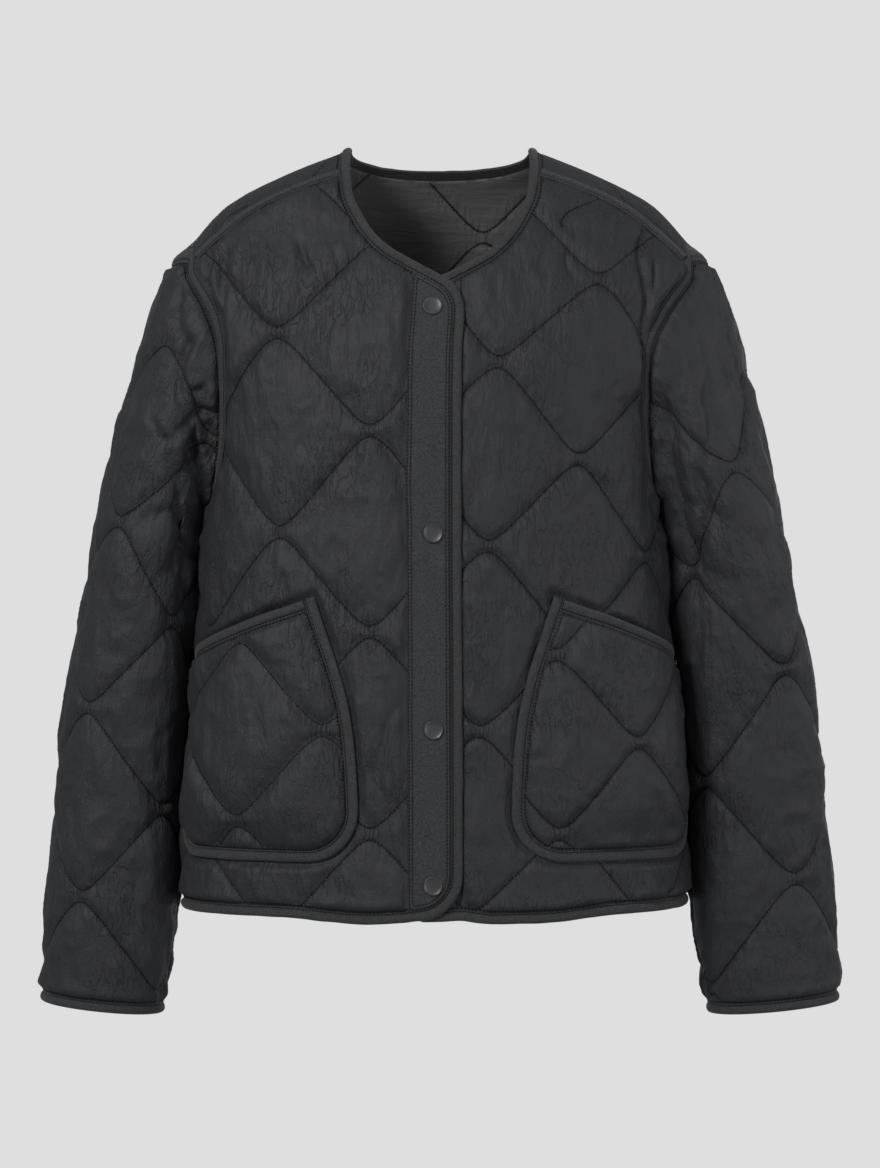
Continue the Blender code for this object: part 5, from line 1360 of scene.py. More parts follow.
class BoundEdge:
    """Finished edge of a front, as on the left side: down the neckline, the front edge and along the hem."""

    def __init__(self, name, side):
        self.line = spaced(self.outline(name, side), FINE)
        run = lengths(self.line)
        across, up = self.line.T
        self.neck_end = run[int(np.argmax((across < 0) & (up < NECK_BINDING_END)))]
        self.hem_start = run[len(run) - int(np.argmax(across[::-1] < HEM_BINDING_START[name]))]
        self.end = run[-1]
        self.marks = even_marks(self.line)

    def outline(self, name, side):
        past = FRONT_EDGE[name]
        ups = np.linspace(NECK_FRONT[-1].up, NECK_FRONT[0].up, EDGE_STEPS)
        neck = np.stack([read(NECK_FRONT, "up", "across", ups), ups], axis=1)
        low = float(hem_up(-past * side))
        turns = rounded((
            Corner(TURN_REACH, NECK_FRONT[0].up + NECK_SLOPE * TURN_REACH, 0),
            Corner(-past, NECK_FRONT[0].up - NECK_SLOPE * past, CORNER_RADIUS[name]),
            Corner(-past, low, CORNER_RADIUS[name]),
            Corner(TURN_REACH, low, 0),
        ))
        across = np.linspace(HEM_FROM, CHEST_QUARTER - GAP / 2, EDGE_STEPS)
        hem = np.stack([across, hem_up(across * side)], axis=1)
        return np.concatenate([neck, turns[1:-1], hem])

    def marks_between(self, start, end):
        low = start + (GAP / 2 if start > 0 else 0)
        high = end - (GAP / 2 if end < self.end else 0)
        middle = self.marks[(self.marks > start + EDGE_GRID / 2) & (self.marks < end - EDGE_GRID / 2)]
        return np.concatenate([[low], middle, [high]])


def shoulder_seam(form, start, end, inwards=GAP / 2):
    across = np.linspace(start, end, int(abs(end - start) / EDGE_GRID) + 1)
    forward = -SHOULDER_FORWARD if form is front_form else SHOULDER_FORWARD
    return np.stack([across, form.ridge(across) + forward - inwards], axis=1)


def side_seam(low, high):
    ups = np.linspace(low, high, int((high - low) / EDGE_GRID) + 2)[1:-1]
    return np.stack([np.full_like(ups, CHEST_QUARTER - GAP / 2), ups], axis=1)


def armhole_edge(line, marks):
    """A panel's edge along an armhole, with half a gap to its neighbour at each end."""
    edge = beside(line, marks, 0)
    edge[0, 0] = CHEST_QUARTER - GAP / 2
    edge[-1, 1] -= GAP / 2
    return edge


def pocket_outline():
    """Closed finished outline of a pocket on the left side, from its inner top corner."""
    return spaced(rounded(POCKET), FINE)


def cut_front(name, side):
    edge = bound_edges[name]
    hole = armholes[side]
    bound = beside(edge.line, edge.marks, BINDING_WIDTH - BINDING_COVER)[1:]
    bound[-1, 0] = CHEST_QUARTER - GAP / 2
    seam = side_seam(bound[-1, 1], ARMHOLE_FRONT[0].up)
    half = armhole_edge(hole.front, hole.front_marks)
    shoulder = shoulder_seam(front_form, SEAM_END, NECK_FRONT[-1].across + BINDING_WIDTH - BINDING_COVER)
    outline = np.concatenate([bound, seam, half, shoulder[1:]]) * [side, 1]
    rims = hole.rims(front_form, half * [side, 1], len(bound) + len(seam))
    pocket = pocket_outline() * [side, 1]
    pocket_lines = Lines([closed(pocket)])

    def showing(points):
        level = smoothstep((points[:, 0] * side - FRONT_FLAT_UNTIL[name]) / SEAM_FADE)
        under = inside(pocket, points)
        return level * smoothstep((pocket_lines.away(points) - POCKET_MARGIN) / SEAM_FADE) * ~under

    seams = [(half * [side, 1], ARMHOLE_MARGIN), (shoulder * [side, 1], SHOULDER_MARGIN)]
    dressing = Dressing(outline, FRONT_QUILTS[name], FRONT_CROWN, FRONT_CREASES[name], seams, showing,
                        seed=100 if side > 0 else 200, extra=EXTRA_STITCHES[name])
    piece = sew_panel(f"{name}_cloth", dressing, on_front(name), rims)
    declare_cloth(piece, outline, name)


BACK_FOLDS = (
    Fold(-0.1660, 0.5000, -0.1620, 0.4100, 0.0036, 0.0100),
    Fold(0.1670, 0.5000, 0.1640, 0.4000, 0.0034, 0.0100),
    Fold(-0.0900, 0.4700, -0.0500, 0.4200, 0.0022, 0.0120),
    Fold(0.0700, 0.2600, 0.0950, 0.1700, 0.0024, 0.0130),
    Fold(-0.1100, 0.2100, -0.0850, 0.1100, 0.0022, 0.0130),
)
SIDES = {"right": -1, "left": 1}
front_form = BodyForm("front", FRONT_FOLDS)
back_form = BodyForm("back", BACK_FOLDS)
armholes = {side: Armhole(side) for side in SIDES.values()}
sleeve_forms = {side: SleeveForm(name, side, armholes[side]) for name, side in SIDES.items()}
for side in SIDES.values():
    armholes[side].meet(sleeve_forms[side])
bound_edges = {f"front_{name}": BoundEdge(f"front_{name}", side) for name, side in SIDES.items()}
for name, side in SIDES.items():
    cut_front(f"front_{name}", side)


# === Back ==================================================================================================
# The back is one wide panel of the same quilted cloth. It runs over the shoulders to seams that lie forward
# of the ridge, and its smooth lining shows inside the open neck.

BACK_QUILT = QuiltPlan(0.0360, 0.5580, 0.0, 0.0740, 0.0785)
BACK_CROWN = 0.0048
BACK_FLAT_FROM = 0.0560  # the back is quilted flat from its shoulder seam to here, past the ridge
BACK_FLAT_FADE = 0.0320
BACK_NECK_FULL = 0.045  # but full puffs show inside the neck, up to this far from the centre line
BACK_NECK_FADE = 0.025
BACK_GRID = 0.0031
BACK_CREASES = (
    Fold(-0.1720, 0.4900, -0.1660, 0.4000, 0.0020, 0.0045),
    Fold(0.1740, 0.4950, 0.1680, 0.3950, 0.0020, 0.0045),
    Fold(-0.1550, 0.3900, -0.1950, 0.3450, 0.0016, 0.0045),
    Fold(0.1600, 0.3800, 0.2000, 0.3400, 0.0016, 0.0045),
    Fold(-0.0950, 0.4700, -0.0550, 0.4250, 0.0014, 0.0042),
    Fold(0.0850, 0.4650, 0.0550, 0.4150, 0.0013, 0.0042),
    Fold(0.0700, 0.2600, 0.0950, 0.1700, 0.0015, 0.0045),
    Fold(-0.1100, 0.2100, -0.0850, 0.1100, 0.0014, 0.0045),
    Fold(-0.2200, 0.2600, -0.2350, 0.1500, 0.0016, 0.0050),
    Fold(0.2180, 0.2500, 0.2350, 0.1300, 0.0016, 0.0050),
    Fold(-0.0200, 0.3300, 0.0150, 0.2800, 0.0011, 0.0040),
    Fold(0.0200, 0.1200, -0.0150, 0.0600, 0.0011, 0.0040),
)
NeckDrop = namedtuple("NeckDrop", "across height")
NECK_BACK = (
    NeckDrop(0.0000, -0.0090),
    NeckDrop(0.0300, -0.0084),
    NeckDrop(0.0550, -0.0060),
    NeckDrop(0.0690, -0.0020),
)


on_back = on_form(back_form)


def neck_back_line():
    """Finished neckline of the back, from the wearer's right shoulder seam to the left one."""
    start = NECK_FRONT[-1].across
    ridge = back_form.ridge(start)
    half = [(start, ridge + SHOULDER_FORWARD), (start - 0.0005, ridge + 0.020)]
    half += [(row.across, back_form.up_at_height(row.across, row.height)) for row in NECK_BACK[::-1]]
    half = np.array(half)
    return through(np.concatenate([half * [-1, 1], half[-2::-1]]), 161)


def hem_back_line():
    """Finished hem of the back, from the wearer's right side seam to the left one."""
    across = np.linspace(-CHEST_QUARTER, CHEST_QUARTER, 161)
    up = np.interp(across, [HEM_EDGE[0].across, HEM_EDGE[-1].across], [HEM_EDGE[0].up, HEM_EDGE[-1].up])
    return np.stack([across, up], axis=1)


def cut_back():
    hole = armholes[1]
    line = neck_back_line()
    neck = beside(line, even_marks(line), BINDING_WIDTH - BINDING_COVER, left=False)[1:-1]
    shoulder = shoulder_seam(back_form, NECK_FRONT[-1].across + BINDING_WIDTH - BINDING_COVER, SEAM_END)
    half = armhole_edge(hole.back, hole.back_marks)
    line = hem_back_line()
    hem = beside(line, even_marks(line), BINDING_WIDTH - BINDING_COVER)
    hem[0, 0] = -CHEST_QUARTER + GAP / 2
    hem[-1, 0] = CHEST_QUARTER - GAP / 2
    seam_left = side_seam(hem[-1, 1], ARMHOLE_BACK[0].up)
    seam_right = side_seam(hem[0, 1], ARMHOLE_BACK[0].up) * [-1, 1]
    mirror = np.array([-1, 1])
    outline = np.concatenate([neck, shoulder[:-1], half[::-1], seam_left[::-1], hem[::-1],
                              seam_right, half * mirror, shoulder[::-1][1:] * mirror])
    first = len(neck) + len(shoulder) - 1
    second = first + len(half) + len(seam_left) + len(hem) + len(seam_right)
    rims = hole.rims(back_form, half[::-1], first)
    rims.update(armholes[-1].rims(back_form, half * mirror, second))
    seams = [(half, ARMHOLE_MARGIN), (shoulder, SHOULDER_MARGIN)]
    seams += [(line * mirror, margin) for line, margin in seams]

    def showing(points):
        below = back_form.ridge(points[:, 0]) + SHOULDER_FORWARD - points[:, 1]
        beside_neck = smoothstep((np.abs(points[:, 0]) - BACK_NECK_FULL) / BACK_NECK_FADE)
        return 1 - beside_neck * (1 - smoothstep((below - BACK_FLAT_FROM) / BACK_FLAT_FADE))

    dressing = Dressing(outline, BACK_QUILT, BACK_CROWN, BACK_CREASES, seams, showing, seed=300)
    piece = sew_panel("back_cloth", dressing, on_back, rims, spacing=BACK_GRID)
    declare_cloth(piece, outline, "back")


cut_back()


# === Sleeves ===============================================================================================
# Each sleeve is one panel rolled into a tube and seamed under the arm, quilted like the body. It is set into
# the armhole and hangs slightly bent, with bunched creases at the inner elbow and by the armhole.

SLEEVE_QUILTS = {
    -1: QuiltPlan(0.0570, 0.3955, 0.0, 0.0670, 0.0760, 2),
    1: QuiltPlan(0.0590, 0.4435, 0.0, 0.0740, 0.0844, 1),
}
SLEEVE_CROWN = 0.0044
SLEEVE_CREASES = {
    -1: (
        Fold(0.0520, 0.5900, 0.0800, 0.5450, 0.0046, 0.0042),
        Fold(0.0790, 0.5560, 0.0850, 0.4950, 0.0052, 0.0044),
        Fold(0.0870, 0.5070, 0.1000, 0.5150, 0.0036, 0.0032),
        Fold(0.0985, 0.5170, 0.1075, 0.4950, 0.0042, 0.0034),
        Fold(0.1050, 0.4945, 0.1200, 0.4990, 0.0040, 0.0034),
        Fold(0.1200, 0.4990, 0.0800, 0.4660, 0.0040, 0.0040),
        Fold(0.1050, 0.4840, 0.1230, 0.4510, 0.0040, 0.0038),
        Fold(0.1180, 0.4940, 0.1320, 0.4560, 0.0044, 0.0042),
        Fold(0.0660, 0.4840, 0.0790, 0.4640, 0.0030, 0.0034),
        Fold(0.0800, 0.4600, 0.1000, 0.4300, 0.0032, 0.0040),
        Fold(0.0980, 0.4400, 0.1130, 0.4000, 0.0056, 0.0046),
        Fold(0.1090, 0.4100, 0.1350, 0.3820, 0.0052, 0.0048),
        Fold(0.0980, 0.4770, 0.1350, 0.4380, 0.0042, 0.0048),
        Fold(0.1300, 0.4480, 0.1600, 0.4200, 0.0050, 0.0055),
        Fold(0.1280, 0.3850, 0.1700, 0.3700, 0.0034, 0.0045),
        Fold(0.1360, 0.3780, 0.1420, 0.3400, 0.0030, 0.0042),
        Fold(0.1040, 0.3400, 0.0960, 0.2950, 0.0018, 0.0044),
        Fold(0.0860, 0.2600, 0.0800, 0.2150, 0.0016, 0.0044),
        Fold(0.0400, 0.3700, 0.0450, 0.3300, 0.0014, 0.0040),
        Fold(0.1250, 0.2400, 0.1180, 0.2000, 0.0018, 0.0042),
        Fold(0.1050, 0.1200, 0.1000, 0.0500, 0.0018, 0.0046),
        Fold(0.0200, 0.5600, 0.0260, 0.5200, 0.0014, 0.0040),
        Fold(0.0300, 0.2000, 0.0350, 0.1500, 0.0014, 0.0040),
        Fold(-0.0450, 0.5300, -0.0600, 0.4500, 0.0020, 0.0050),
        Fold(-0.0950, 0.4900, -0.1250, 0.4300, 0.0036, 0.0050),
        Fold(-0.1300, 0.4100, -0.0850, 0.3700, 0.0034, 0.0050),
        Fold(-0.0500, 0.3300, -0.0620, 0.2300, 0.0018, 0.0050),
        Fold(-0.0900, 0.2600, -0.0950, 0.1600, 0.0016, 0.0046),
    ),
    1: (
        Fold(0.0530, 0.5550, 0.0700, 0.5000, 0.0022, 0.0038),
        Fold(0.0670, 0.5100, 0.0935, 0.4300, 0.0036, 0.0038),
        Fold(0.0880, 0.4500, 0.1065, 0.3850, 0.0040, 0.0040),
        Fold(0.0720, 0.5520, 0.0880, 0.5120, 0.0024, 0.0040),
        Fold(0.0760, 0.5650, 0.1020, 0.5050, 0.0026, 0.0050),
        Fold(0.1010, 0.5120, 0.1250, 0.4600, 0.0034, 0.0050),
        Fold(-0.0060, 0.5980, 0.0100, 0.5450, 0.0018, 0.0024),
        Fold(0.0060, 0.5700, 0.0150, 0.5100, 0.0018, 0.0024),
        Fold(0.0120, 0.5250, 0.0370, 0.4450, 0.0018, 0.0024),
        Fold(-0.0020, 0.5500, 0.0060, 0.5000, 0.0015, 0.0024),
        Fold(0.0330, 0.5500, 0.0420, 0.5050, 0.0013, 0.0036),
        Fold(0.0910, 0.3400, 0.0900, 0.2850, 0.0017, 0.0042),
        Fold(0.1250, 0.3350, 0.1300, 0.2900, 0.0016, 0.0040),
        Fold(0.0400, 0.3600, 0.0440, 0.3150, 0.0014, 0.0040),
        Fold(0.1000, 0.2500, 0.1020, 0.2050, 0.0014, 0.0040),
        Fold(0.0800, 0.1500, 0.0850, 0.0900, 0.0015, 0.0042),
        Fold(-0.0450, 0.4800, -0.0600, 0.3900, 0.0018, 0.0048),
        Fold(-0.0950, 0.4800, -0.1250, 0.4200, 0.0034, 0.0050),
        Fold(-0.1300, 0.4000, -0.0850, 0.3600, 0.0032, 0.0050),
        Fold(-0.0500, 0.3000, -0.0560, 0.1900, 0.0016, 0.0046),
        Fold(-0.0900, 0.1500, -0.0850, 0.0500, 0.0014, 0.0044),
    ),
}


def cut_sleeve(name, side):
    form = sleeve_forms[side]
    turns, faces = armholes[side].for_sleeve()
    top = np.stack([turns * form.round_at(form.top(turns)), form.top(turns)], axis=1)
    low = BINDING_WIDTH - BINDING_COVER
    steps = int((form.top(0.5) - low) / EDGE_GRID)
    ups = np.linspace(low, form.top(0.5), steps + 1)[:-1]
    edge = np.stack([form.round_at(ups) / 2, ups], axis=1)
    across = np.linspace(-0.5, 0.5, int(form.round_at(low) / EDGE_GRID))[1:-1] * form.round_at(low)
    cuff = np.stack([across, np.full_like(across, low)], axis=1)
    outline = np.concatenate([edge, top[::-1], edge[::-1] * [-1, 1], cuff])
    rims = {len(edge) + k: pair for k, pair in enumerate(faces[::-1])}
    last = len(edge) + len(top) - 1
    sewn = [(last, len(edge))] + [(last + 1 + k, len(edge) - 1 - k) for k in range(len(edge))]
    dressing = Dressing(outline, SLEEVE_QUILTS[side], SLEEVE_CROWN, SLEEVE_CREASES[side],
                        seed=400 if side > 0 else 500)
    piece = sew_panel(f"sleeve_{name}_cloth", dressing, on_form(form), rims, sewn)
    declare_cloth(piece, outline, f"sleeve_{name}")


for name, side in SIDES.items():
    cut_sleeve(name, side)


# === Pockets ===============================================================================================
# Two patch pockets of the quilted cloth are sewn on the lower fronts. They stand off the body a little under
# a slanted mouth that takes a hand.

POCKET_QUILTS = {
    -1: QuiltPlan(-0.0856, 0.1491, 0.0, 0.0640, 0.0720),
    1: QuiltPlan(0.0943, 0.2076, 0.0, 0.0600, 0.0700),
}
POCKET_BASE = EDGE_WALL + 0.0009
POCKET_HOLLOW = 0.0082
POCKET_RISE = 0.038
POCKET_CROWN = 0.0044
POCKET_GRID = 0.0024
POCKET_CREASES = {
    -1: (
        Fold(-0.2200, 0.1750, -0.2000, 0.1450, 0.0014, 0.0040),
        Fold(-0.0750, 0.0950, -0.0700, 0.0600, 0.0013, 0.0040),
        Fold(-0.1700, 0.1100, -0.1950, 0.0750, 0.0012, 0.0040),
        Fold(-0.1200, 0.1900, -0.1350, 0.1600, 0.0011, 0.0038),
    ),
    1: (
        Fold(0.2150, 0.1750, 0.1950, 0.1500, 0.0014, 0.0040),
        Fold(0.0750, 0.1300, 0.0720, 0.0800, 0.0013, 0.0040),
        Fold(0.1650, 0.1000, 0.1900, 0.0650, 0.0012, 0.0040),
        Fold(0.1150, 0.2300, 0.1000, 0.1900, 0.0011, 0.0038),
    ),
}


def pocket_corner(corner, beyond, across_mouth, inwards, down):
    """A top corner of the pocket moved in from its sewn side and down from its mouth."""
    here = np.array(corner[:2])
    rows = []
    levels = []
    for target, distance in ((beyond, inwards), (across_mouth, down)):
        along = unit(np.array(target[:2]) - here)
        normal = np.array([-along[1], along[0]])
        other = across_mouth if target is beyond else beyond
        normal = normal * np.sign(normal @ (np.array(other[:2]) - here))
        rows.append(normal)
        levels.append(normal @ here + distance)
    return np.linalg.solve(rows, levels)


def mouth_ends(inwards, down):
    """Ends of a line below the mouth, at the inner and the outer side."""
    return (pocket_corner(POCKET[0], POCKET[1], POCKET[-1], inwards, down),
            pocket_corner(POCKET[-1], POCKET[-2], POCKET[0], inwards, down))


def pocket_edge(inwards):
    """Closed outline of the pocket on the left side, all its sides moved in; it ends with the mouth."""
    line = pocket_outline()
    inner, outer = mouth_ends(inwards, inwards)
    along = unit(outer - inner)
    sewn = beside(line, even_marks(line), inwards)
    below = (sewn - inner) @ np.array([along[1], -along[0]])
    sewn = sewn[below > EDGE_GRID / 2]
    steps = int(np.linalg.norm(outer - inner) / EDGE_GRID)
    mouth = np.linspace(outer, inner, steps + 1)
    return np.concatenate([mouth[-1:], sewn, mouth[:-1]])


def on_pocket(name, side):
    """Placing function for a pocket: sewn down round its edge, standing off the front in the middle."""
    sewn = Lines([rounded(POCKET) * [side, 1]])
    ground = on_front(f"front_{name}")

    def place(points, out):
        apart = sewn.away(points) - BINDING_WIDTH
        return ground(points, np.asarray(out) + POCKET_BASE + POCKET_HOLLOW * smoothstep(apart / POCKET_RISE))

    return place


for name, side in SIDES.items():
    outline = pocket_edge(BINDING_WIDTH - BINDING_COVER) * [side, 1]
    dressing = Dressing(outline, POCKET_QUILTS[side], POCKET_CROWN, POCKET_CREASES[side],
                        seed=600 if side > 0 else 700)
    piece = sew_panel(f"pocket_{name}_cloth", dressing, on_pocket(name, side), spacing=POCKET_GRID)
    declare_cloth(piece, outline, f"pocket_{name}")


# === Bindings ==============================================================================================
# Folded twill strips wrap the raw edges of the neck, fronts, hem, cuffs and pockets. Each is puffed between
# its two edges, drawn in by small puckers, and held by one row of stitches near the cloth.

BINDING_LOW = -0.0005
BINDING_HIGH = 0.0034
POCKET_BINDING_HEIGHT = 0.0033
RowPoint = namedtuple("RowPoint", "share height")
UNDER_SIDE = 0.1  # a strip's places lower than this lie on its under side
BINDING_ROW = (
    RowPoint(0.00, 0.42),
    RowPoint(0.03, 0.66),
    RowPoint(0.09, 0.86),
    RowPoint(0.20, 0.98),
    RowPoint(0.34, 1.03),
    RowPoint(0.48, 1.00),
    RowPoint(0.60, 0.93),
    RowPoint(0.70, 0.82),
    RowPoint(0.77, 0.66),
    RowPoint(0.82, 0.55),
    RowPoint(0.87, 0.63),
    RowPoint(0.94, 0.66),
    RowPoint(0.98, 0.56),
    RowPoint(1.00, 0.34),
    RowPoint(0.97, 0.04),
    RowPoint(0.50, 0.00),
    RowPoint(0.03, 0.04),
)
BINDING_STITCH = 0.82
TWILL_STITCH_HALF = 0.00048
TWILL_COLOUR = (0.0200, 0.0205, 0.0215, 1.0)
TWILL_WORN = (0.0740, 0.0750, 0.0770, 1.0)
TWILL_PITCH = 0.0010
PUCKER = 0.00042
PUCKER_LENGTH = 0.0042
WAVER = 0.00022
CUT_END_ANGLE = math.radians(65)
BINDING_LAP = 0.0060  # a front's binding laps the neck's and the hem's by this
LEAST_STEP = 0.0008
CUFF_STATIONS = 120


def twill(name, rows):
    """Matte twill on a strip, with painted shade in its stitch grooves. `rows` are the places across it where
    stitches run, in metres.
    """
    finish = Finish(name, 0.86, sheen=0.14, specular=0.25)
    place = finish.object_place()
    across = finish.attribute("across")
    run = finish.attribute("run")
    soft = finish.noise(place, 60.0, 4.0, 0.6)
    grain = finish.noise(place, 820.0, 3.0, 0.7)
    fuzz = finish.noise(place, 1900.0, 2.0, 0.6)
    rib = (((run + across) * (1.0 / TWILL_PITCH)).repeat(1.0) - 0.5).size() * 2.0
    speckle = finish.rise(grain, 0.32, 0.70)
    aways = [(across - row).size() for row in rows]
    grooves = [finish.fall(away, 0.0002, 0.0010) for away in aways]
    layers = [(soft * 0.20 + speckle * 0.62 + rib * 0.14, TWILL_WORN)]
    for away, groove in zip(aways, grooves):
        # painted shade in the stitch groove, besides the thread itself
        layers.append((groove * 0.30, PAINTED_GROOVE_SHADE))
        layers.append((stitched(away, run, TWILL_STITCH_HALF) * 0.90, THREAD_COLOUR))
    finish.paint(TWILL_COLOUR, layers)
    sunk = grooves[0]
    for groove in grooves[1:]:
        sunk = sunk + groove
    finish.give("Roughness", 0.80 + fuzz * 0.12)
    finish.emboss((
        (soft, 0.30, 0.0010),
        (grain, 0.55, 0.0007),
        (rib, 0.25, 0.0002),
        (fuzz, 0.35, 0.0002),
        (-sunk, 0.6, 0.0006),
    ))
    return finish.material


binding_twill = twill("binding_twill_bound", (BINDING_WIDTH * BINDING_STITCH,))


def face_outwards():
    bpy.ops.mesh.normals_make_consistent(inside=False)


def ribbon(name, node, stations, across, cloth, closed_round=False):
    """A strip of cloth through rows of places, one row per station, which stands for a node."""
    count, wide = stations.shape[:2]
    faces = []
    for i in range(count if closed_round else count - 1):
        j = (i + 1) % count
        for a in range(wide):
            b = (a + 1) % wide
            faces.append((i * wide + a, i * wide + b, j * wide + b, j * wide + a))
    if not closed_round:
        faces.append(tuple(range(wide))[::-1])
        faces.append(tuple(range((count - 1) * wide, count * wide)))
    mesh = bpy.data.meshes.new(name)
    mesh.from_pydata(stations.reshape(-1, 3).tolist(), [], faces)
    run = lengths(stations.mean(axis=1))
    keep_measures(mesh, {"across": np.tile(across, count), "run": np.repeat(run, wide)})
    mesh.shade_smooth()
    mesh.materials.append(cloth)
    piece = put(name, mesh)
    in_edit_mode(piece, face_outwards)
    mesh.set_sharp_from_angle(angle=CUT_END_ANGLE)
    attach(piece, "root")
    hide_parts(node)


def roll(line_at, place, swell, gather, low=BINDING_LOW, high=BINDING_HIGH):
    """Stations of a binding: its row of places, laid on `line_at` each share of its width."""
    rows = []
    for share, height in BINDING_ROW:
        shows = height > UNDER_SIDE
        crest = math.sin(math.pi * min(share * 1.1, 1.0)) * shows
        out = low + (high - low) * height * (swell if shows else 1.0) + gather * crest
        rows.append(place(line_at(share), out))
    return np.array(rows).transpose(1, 0, 2)


def bind(place, line, marks, seed, side=1, left=True, low=BINDING_LOW, high=BINDING_HIGH):
    """Stations of a binding that follows a line from just inside it: puffed, puckered, a little uneven."""
    swell = 1 + 0.07 * ripple(marks, 0.021, seed) + 0.05 * ripple(marks, 0.009, seed + 1)
    gather = PUCKER * ripple(marks, PUCKER_LENGTH, seed + 2)
    gather = gather + 0.5 * PUCKER * ripple(marks, PUCKER_LENGTH / 2, seed + 3)
    waver = WAVER * ripple(marks, 0.012, seed + 4)
    points = beside(line, marks, 0, left)
    aside = beside(line, marks, 1.0, left) - points

    def line_at(share):
        reach = BINDING_WIDTH * share + waver * (share < 0.5)
        return (points + aside * reach[:, None]) * [side, 1]

    return roll(line_at, place, swell, gather, low, high)


def join(*parts):
    """Stations of one strip through several stretches, without doubled ones where they meet."""
    rows = np.concatenate(parts)
    steps = np.linalg.norm(np.diff(rows.mean(axis=1), axis=0), axis=1)
    return rows[np.concatenate([[True], steps > LEAST_STEP])]


def shares_across(row_points, width):
    """Places across a strip's upper side for its finish; its under side counts as its edge."""
    return np.array([row.share * width if row.height > UNDER_SIDE else 0.0 for row in row_points])


BINDING_ACROSS = shares_across(BINDING_ROW, BINDING_WIDTH)


def add_binding(node, stations, closed_round=False):
    ribbon(f"{node}_twill", node, stations, BINDING_ACROSS, binding_twill, closed_round)


def bind_front(name, start, end):
    """Stations of the binding along a stretch of a front's edge."""
    side, seed = (1, 31) if name == "front_left" else (-1, 41)
    edge = bound_edges[name]
    return bind(on_front(name), edge.line, edge.marks_between(start, end), seed, side)


right_edge = bound_edges["front_right"]
left_edge = bound_edges["front_left"]
neck_line = neck_back_line()
hem_line = hem_back_line()
neck_back = bind(on_back, neck_line, even_marks(neck_line), 11, left=False)
hem_back = bind(on_back, hem_line, even_marks(hem_line), 21)
neck_left = bind_front("front_left", 0, left_edge.neck_end)
neck_right = bind_front("front_right", 0, right_edge.neck_end)
hem_left = bind_front("front_left", left_edge.hem_start, left_edge.end)
hem_right = bind_front("front_right", right_edge.hem_start, right_edge.end)
add_binding("neck_binding", join(neck_left[::-1], neck_back[::-1], neck_right))
add_binding("hem_binding", join(hem_right, hem_back, hem_left[::-1]))
for node, name in (("front_edge_binding", "front_right"), ("underlap_binding", "front_left")):
    edge = bound_edges[name]
    add_binding(node, bind_front(name, edge.neck_end - BINDING_LAP, edge.hem_start + BINDING_LAP))


def bind_cuff(name, side):
    form = sleeve_forms[side]
    turns = np.linspace(-0.5, 0.5, CUFF_STATIONS + 1)[:-1]
    swell = 1 + 0.07 * ripple(turns, 0.055, 90 + side)
    gather = PUCKER * ripple(turns, 0.0125, 95 + side)

    def line_at(share):
        up = np.full_like(turns, BINDING_WIDTH * share)
        return np.stack([turns * form.round_at(up), up], axis=1)

    add_binding(f"cuff_binding_{name}", roll(line_at, on_form(form), swell, gather), closed_round=True)


def bind_pocket(name, side):
    line = pocket_outline()
    ground = on_front(f"front_{name}")

    def at_base(points, out):
        return ground(points, np.asarray(out) + POCKET_BASE)

    stations = bind(at_base, line, even_marks(line), 110 + side, side, low=0.0, high=POCKET_BINDING_HEIGHT)
    add_binding(f"pocket_edge_binding_{name}", stations)
    length = np.linalg.norm(np.subtract(*mouth_ends(BINDING_WIDTH + GAP, 0.0)))
    steps = int(length / EDGE_GRID)
    run = np.linspace(0, length, steps + 1)
    swell = 1 + 0.08 * ripple(run, 0.018, 120 + side)
    gather = PUCKER * ripple(run, PUCKER_LENGTH, 125 + side)

    def mouth_at(share):
        ends = mouth_ends(BINDING_WIDTH + GAP, BINDING_WIDTH * share)
        return np.linspace(*ends, steps + 1) * [side, 1]

    add_binding(f"pocket_mouth_binding_{name}", roll(mouth_at, on_pocket(name, side), swell, gather))


for name, side in SIDES.items():
    bind_cuff(name, side)
for name, side in SIDES.items():
    bind_pocket(name, side)


# === Tapes =================================================================================================
# Narrow twill tapes cover the shoulder seams and run round each armhole on the body side, held by a row of
# stitches along both edges and slightly puffed between them.

TAPE_HEIGHT = 0.0013
TAPE_ROW = (
    RowPoint(0.00, 0.15),
    RowPoint(0.03, 0.62),
    RowPoint(0.10, 0.70),
    RowPoint(0.16, 0.52),
    RowPoint(0.24, 0.80),
    RowPoint(0.38, 1.00),
    RowPoint(0.50, 1.04),
    RowPoint(0.62, 1.00),
    RowPoint(0.76, 0.80),
    RowPoint(0.84, 0.52),
    RowPoint(0.90, 0.70),
    RowPoint(0.97, 0.62),
    RowPoint(1.00, 0.15),
    RowPoint(0.97, 0.00),
    RowPoint(0.50, 0.00),
    RowPoint(0.03, 0.00),
)
TAPE_STITCHES = (0.16, 0.84)
TAPE_LOW = 0.0001
TAPE_PUCKER = 0.00028
TAPE_ENDS_APART = 0.0015
TAPE_NECK_TUCK = 0.0006  # a shoulder tape's ends tuck under the neck binding and the armhole tape
TAPE_ARMHOLE_TUCK = 0.0010
TAPE_ACROSS = shares_across(TAPE_ROW, TAPE_WIDTH)
tape_twill = twill("binding_twill_tape", tuple(share * TAPE_WIDTH for share in TAPE_STITCHES))


def lay_tape(place, line, marks, inset, seed, side=1, left=True):
    """Stations of a tape that lies on the cloth beside a line."""
    gather = TAPE_PUCKER * ripple(marks, 0.0048, seed)
    rows = []
    for share, height in TAPE_ROW:
        points = beside(line, marks, inset + TAPE_WIDTH * share, left) * [side, 1]
        crest = math.sin(math.pi * share) * (height > UNDER_SIDE)
        rows.append(place(points, EDGE_WALL + TAPE_LOW + TAPE_HEIGHT * height + gather * crest))
    return np.array(rows).transpose(1, 0, 2)


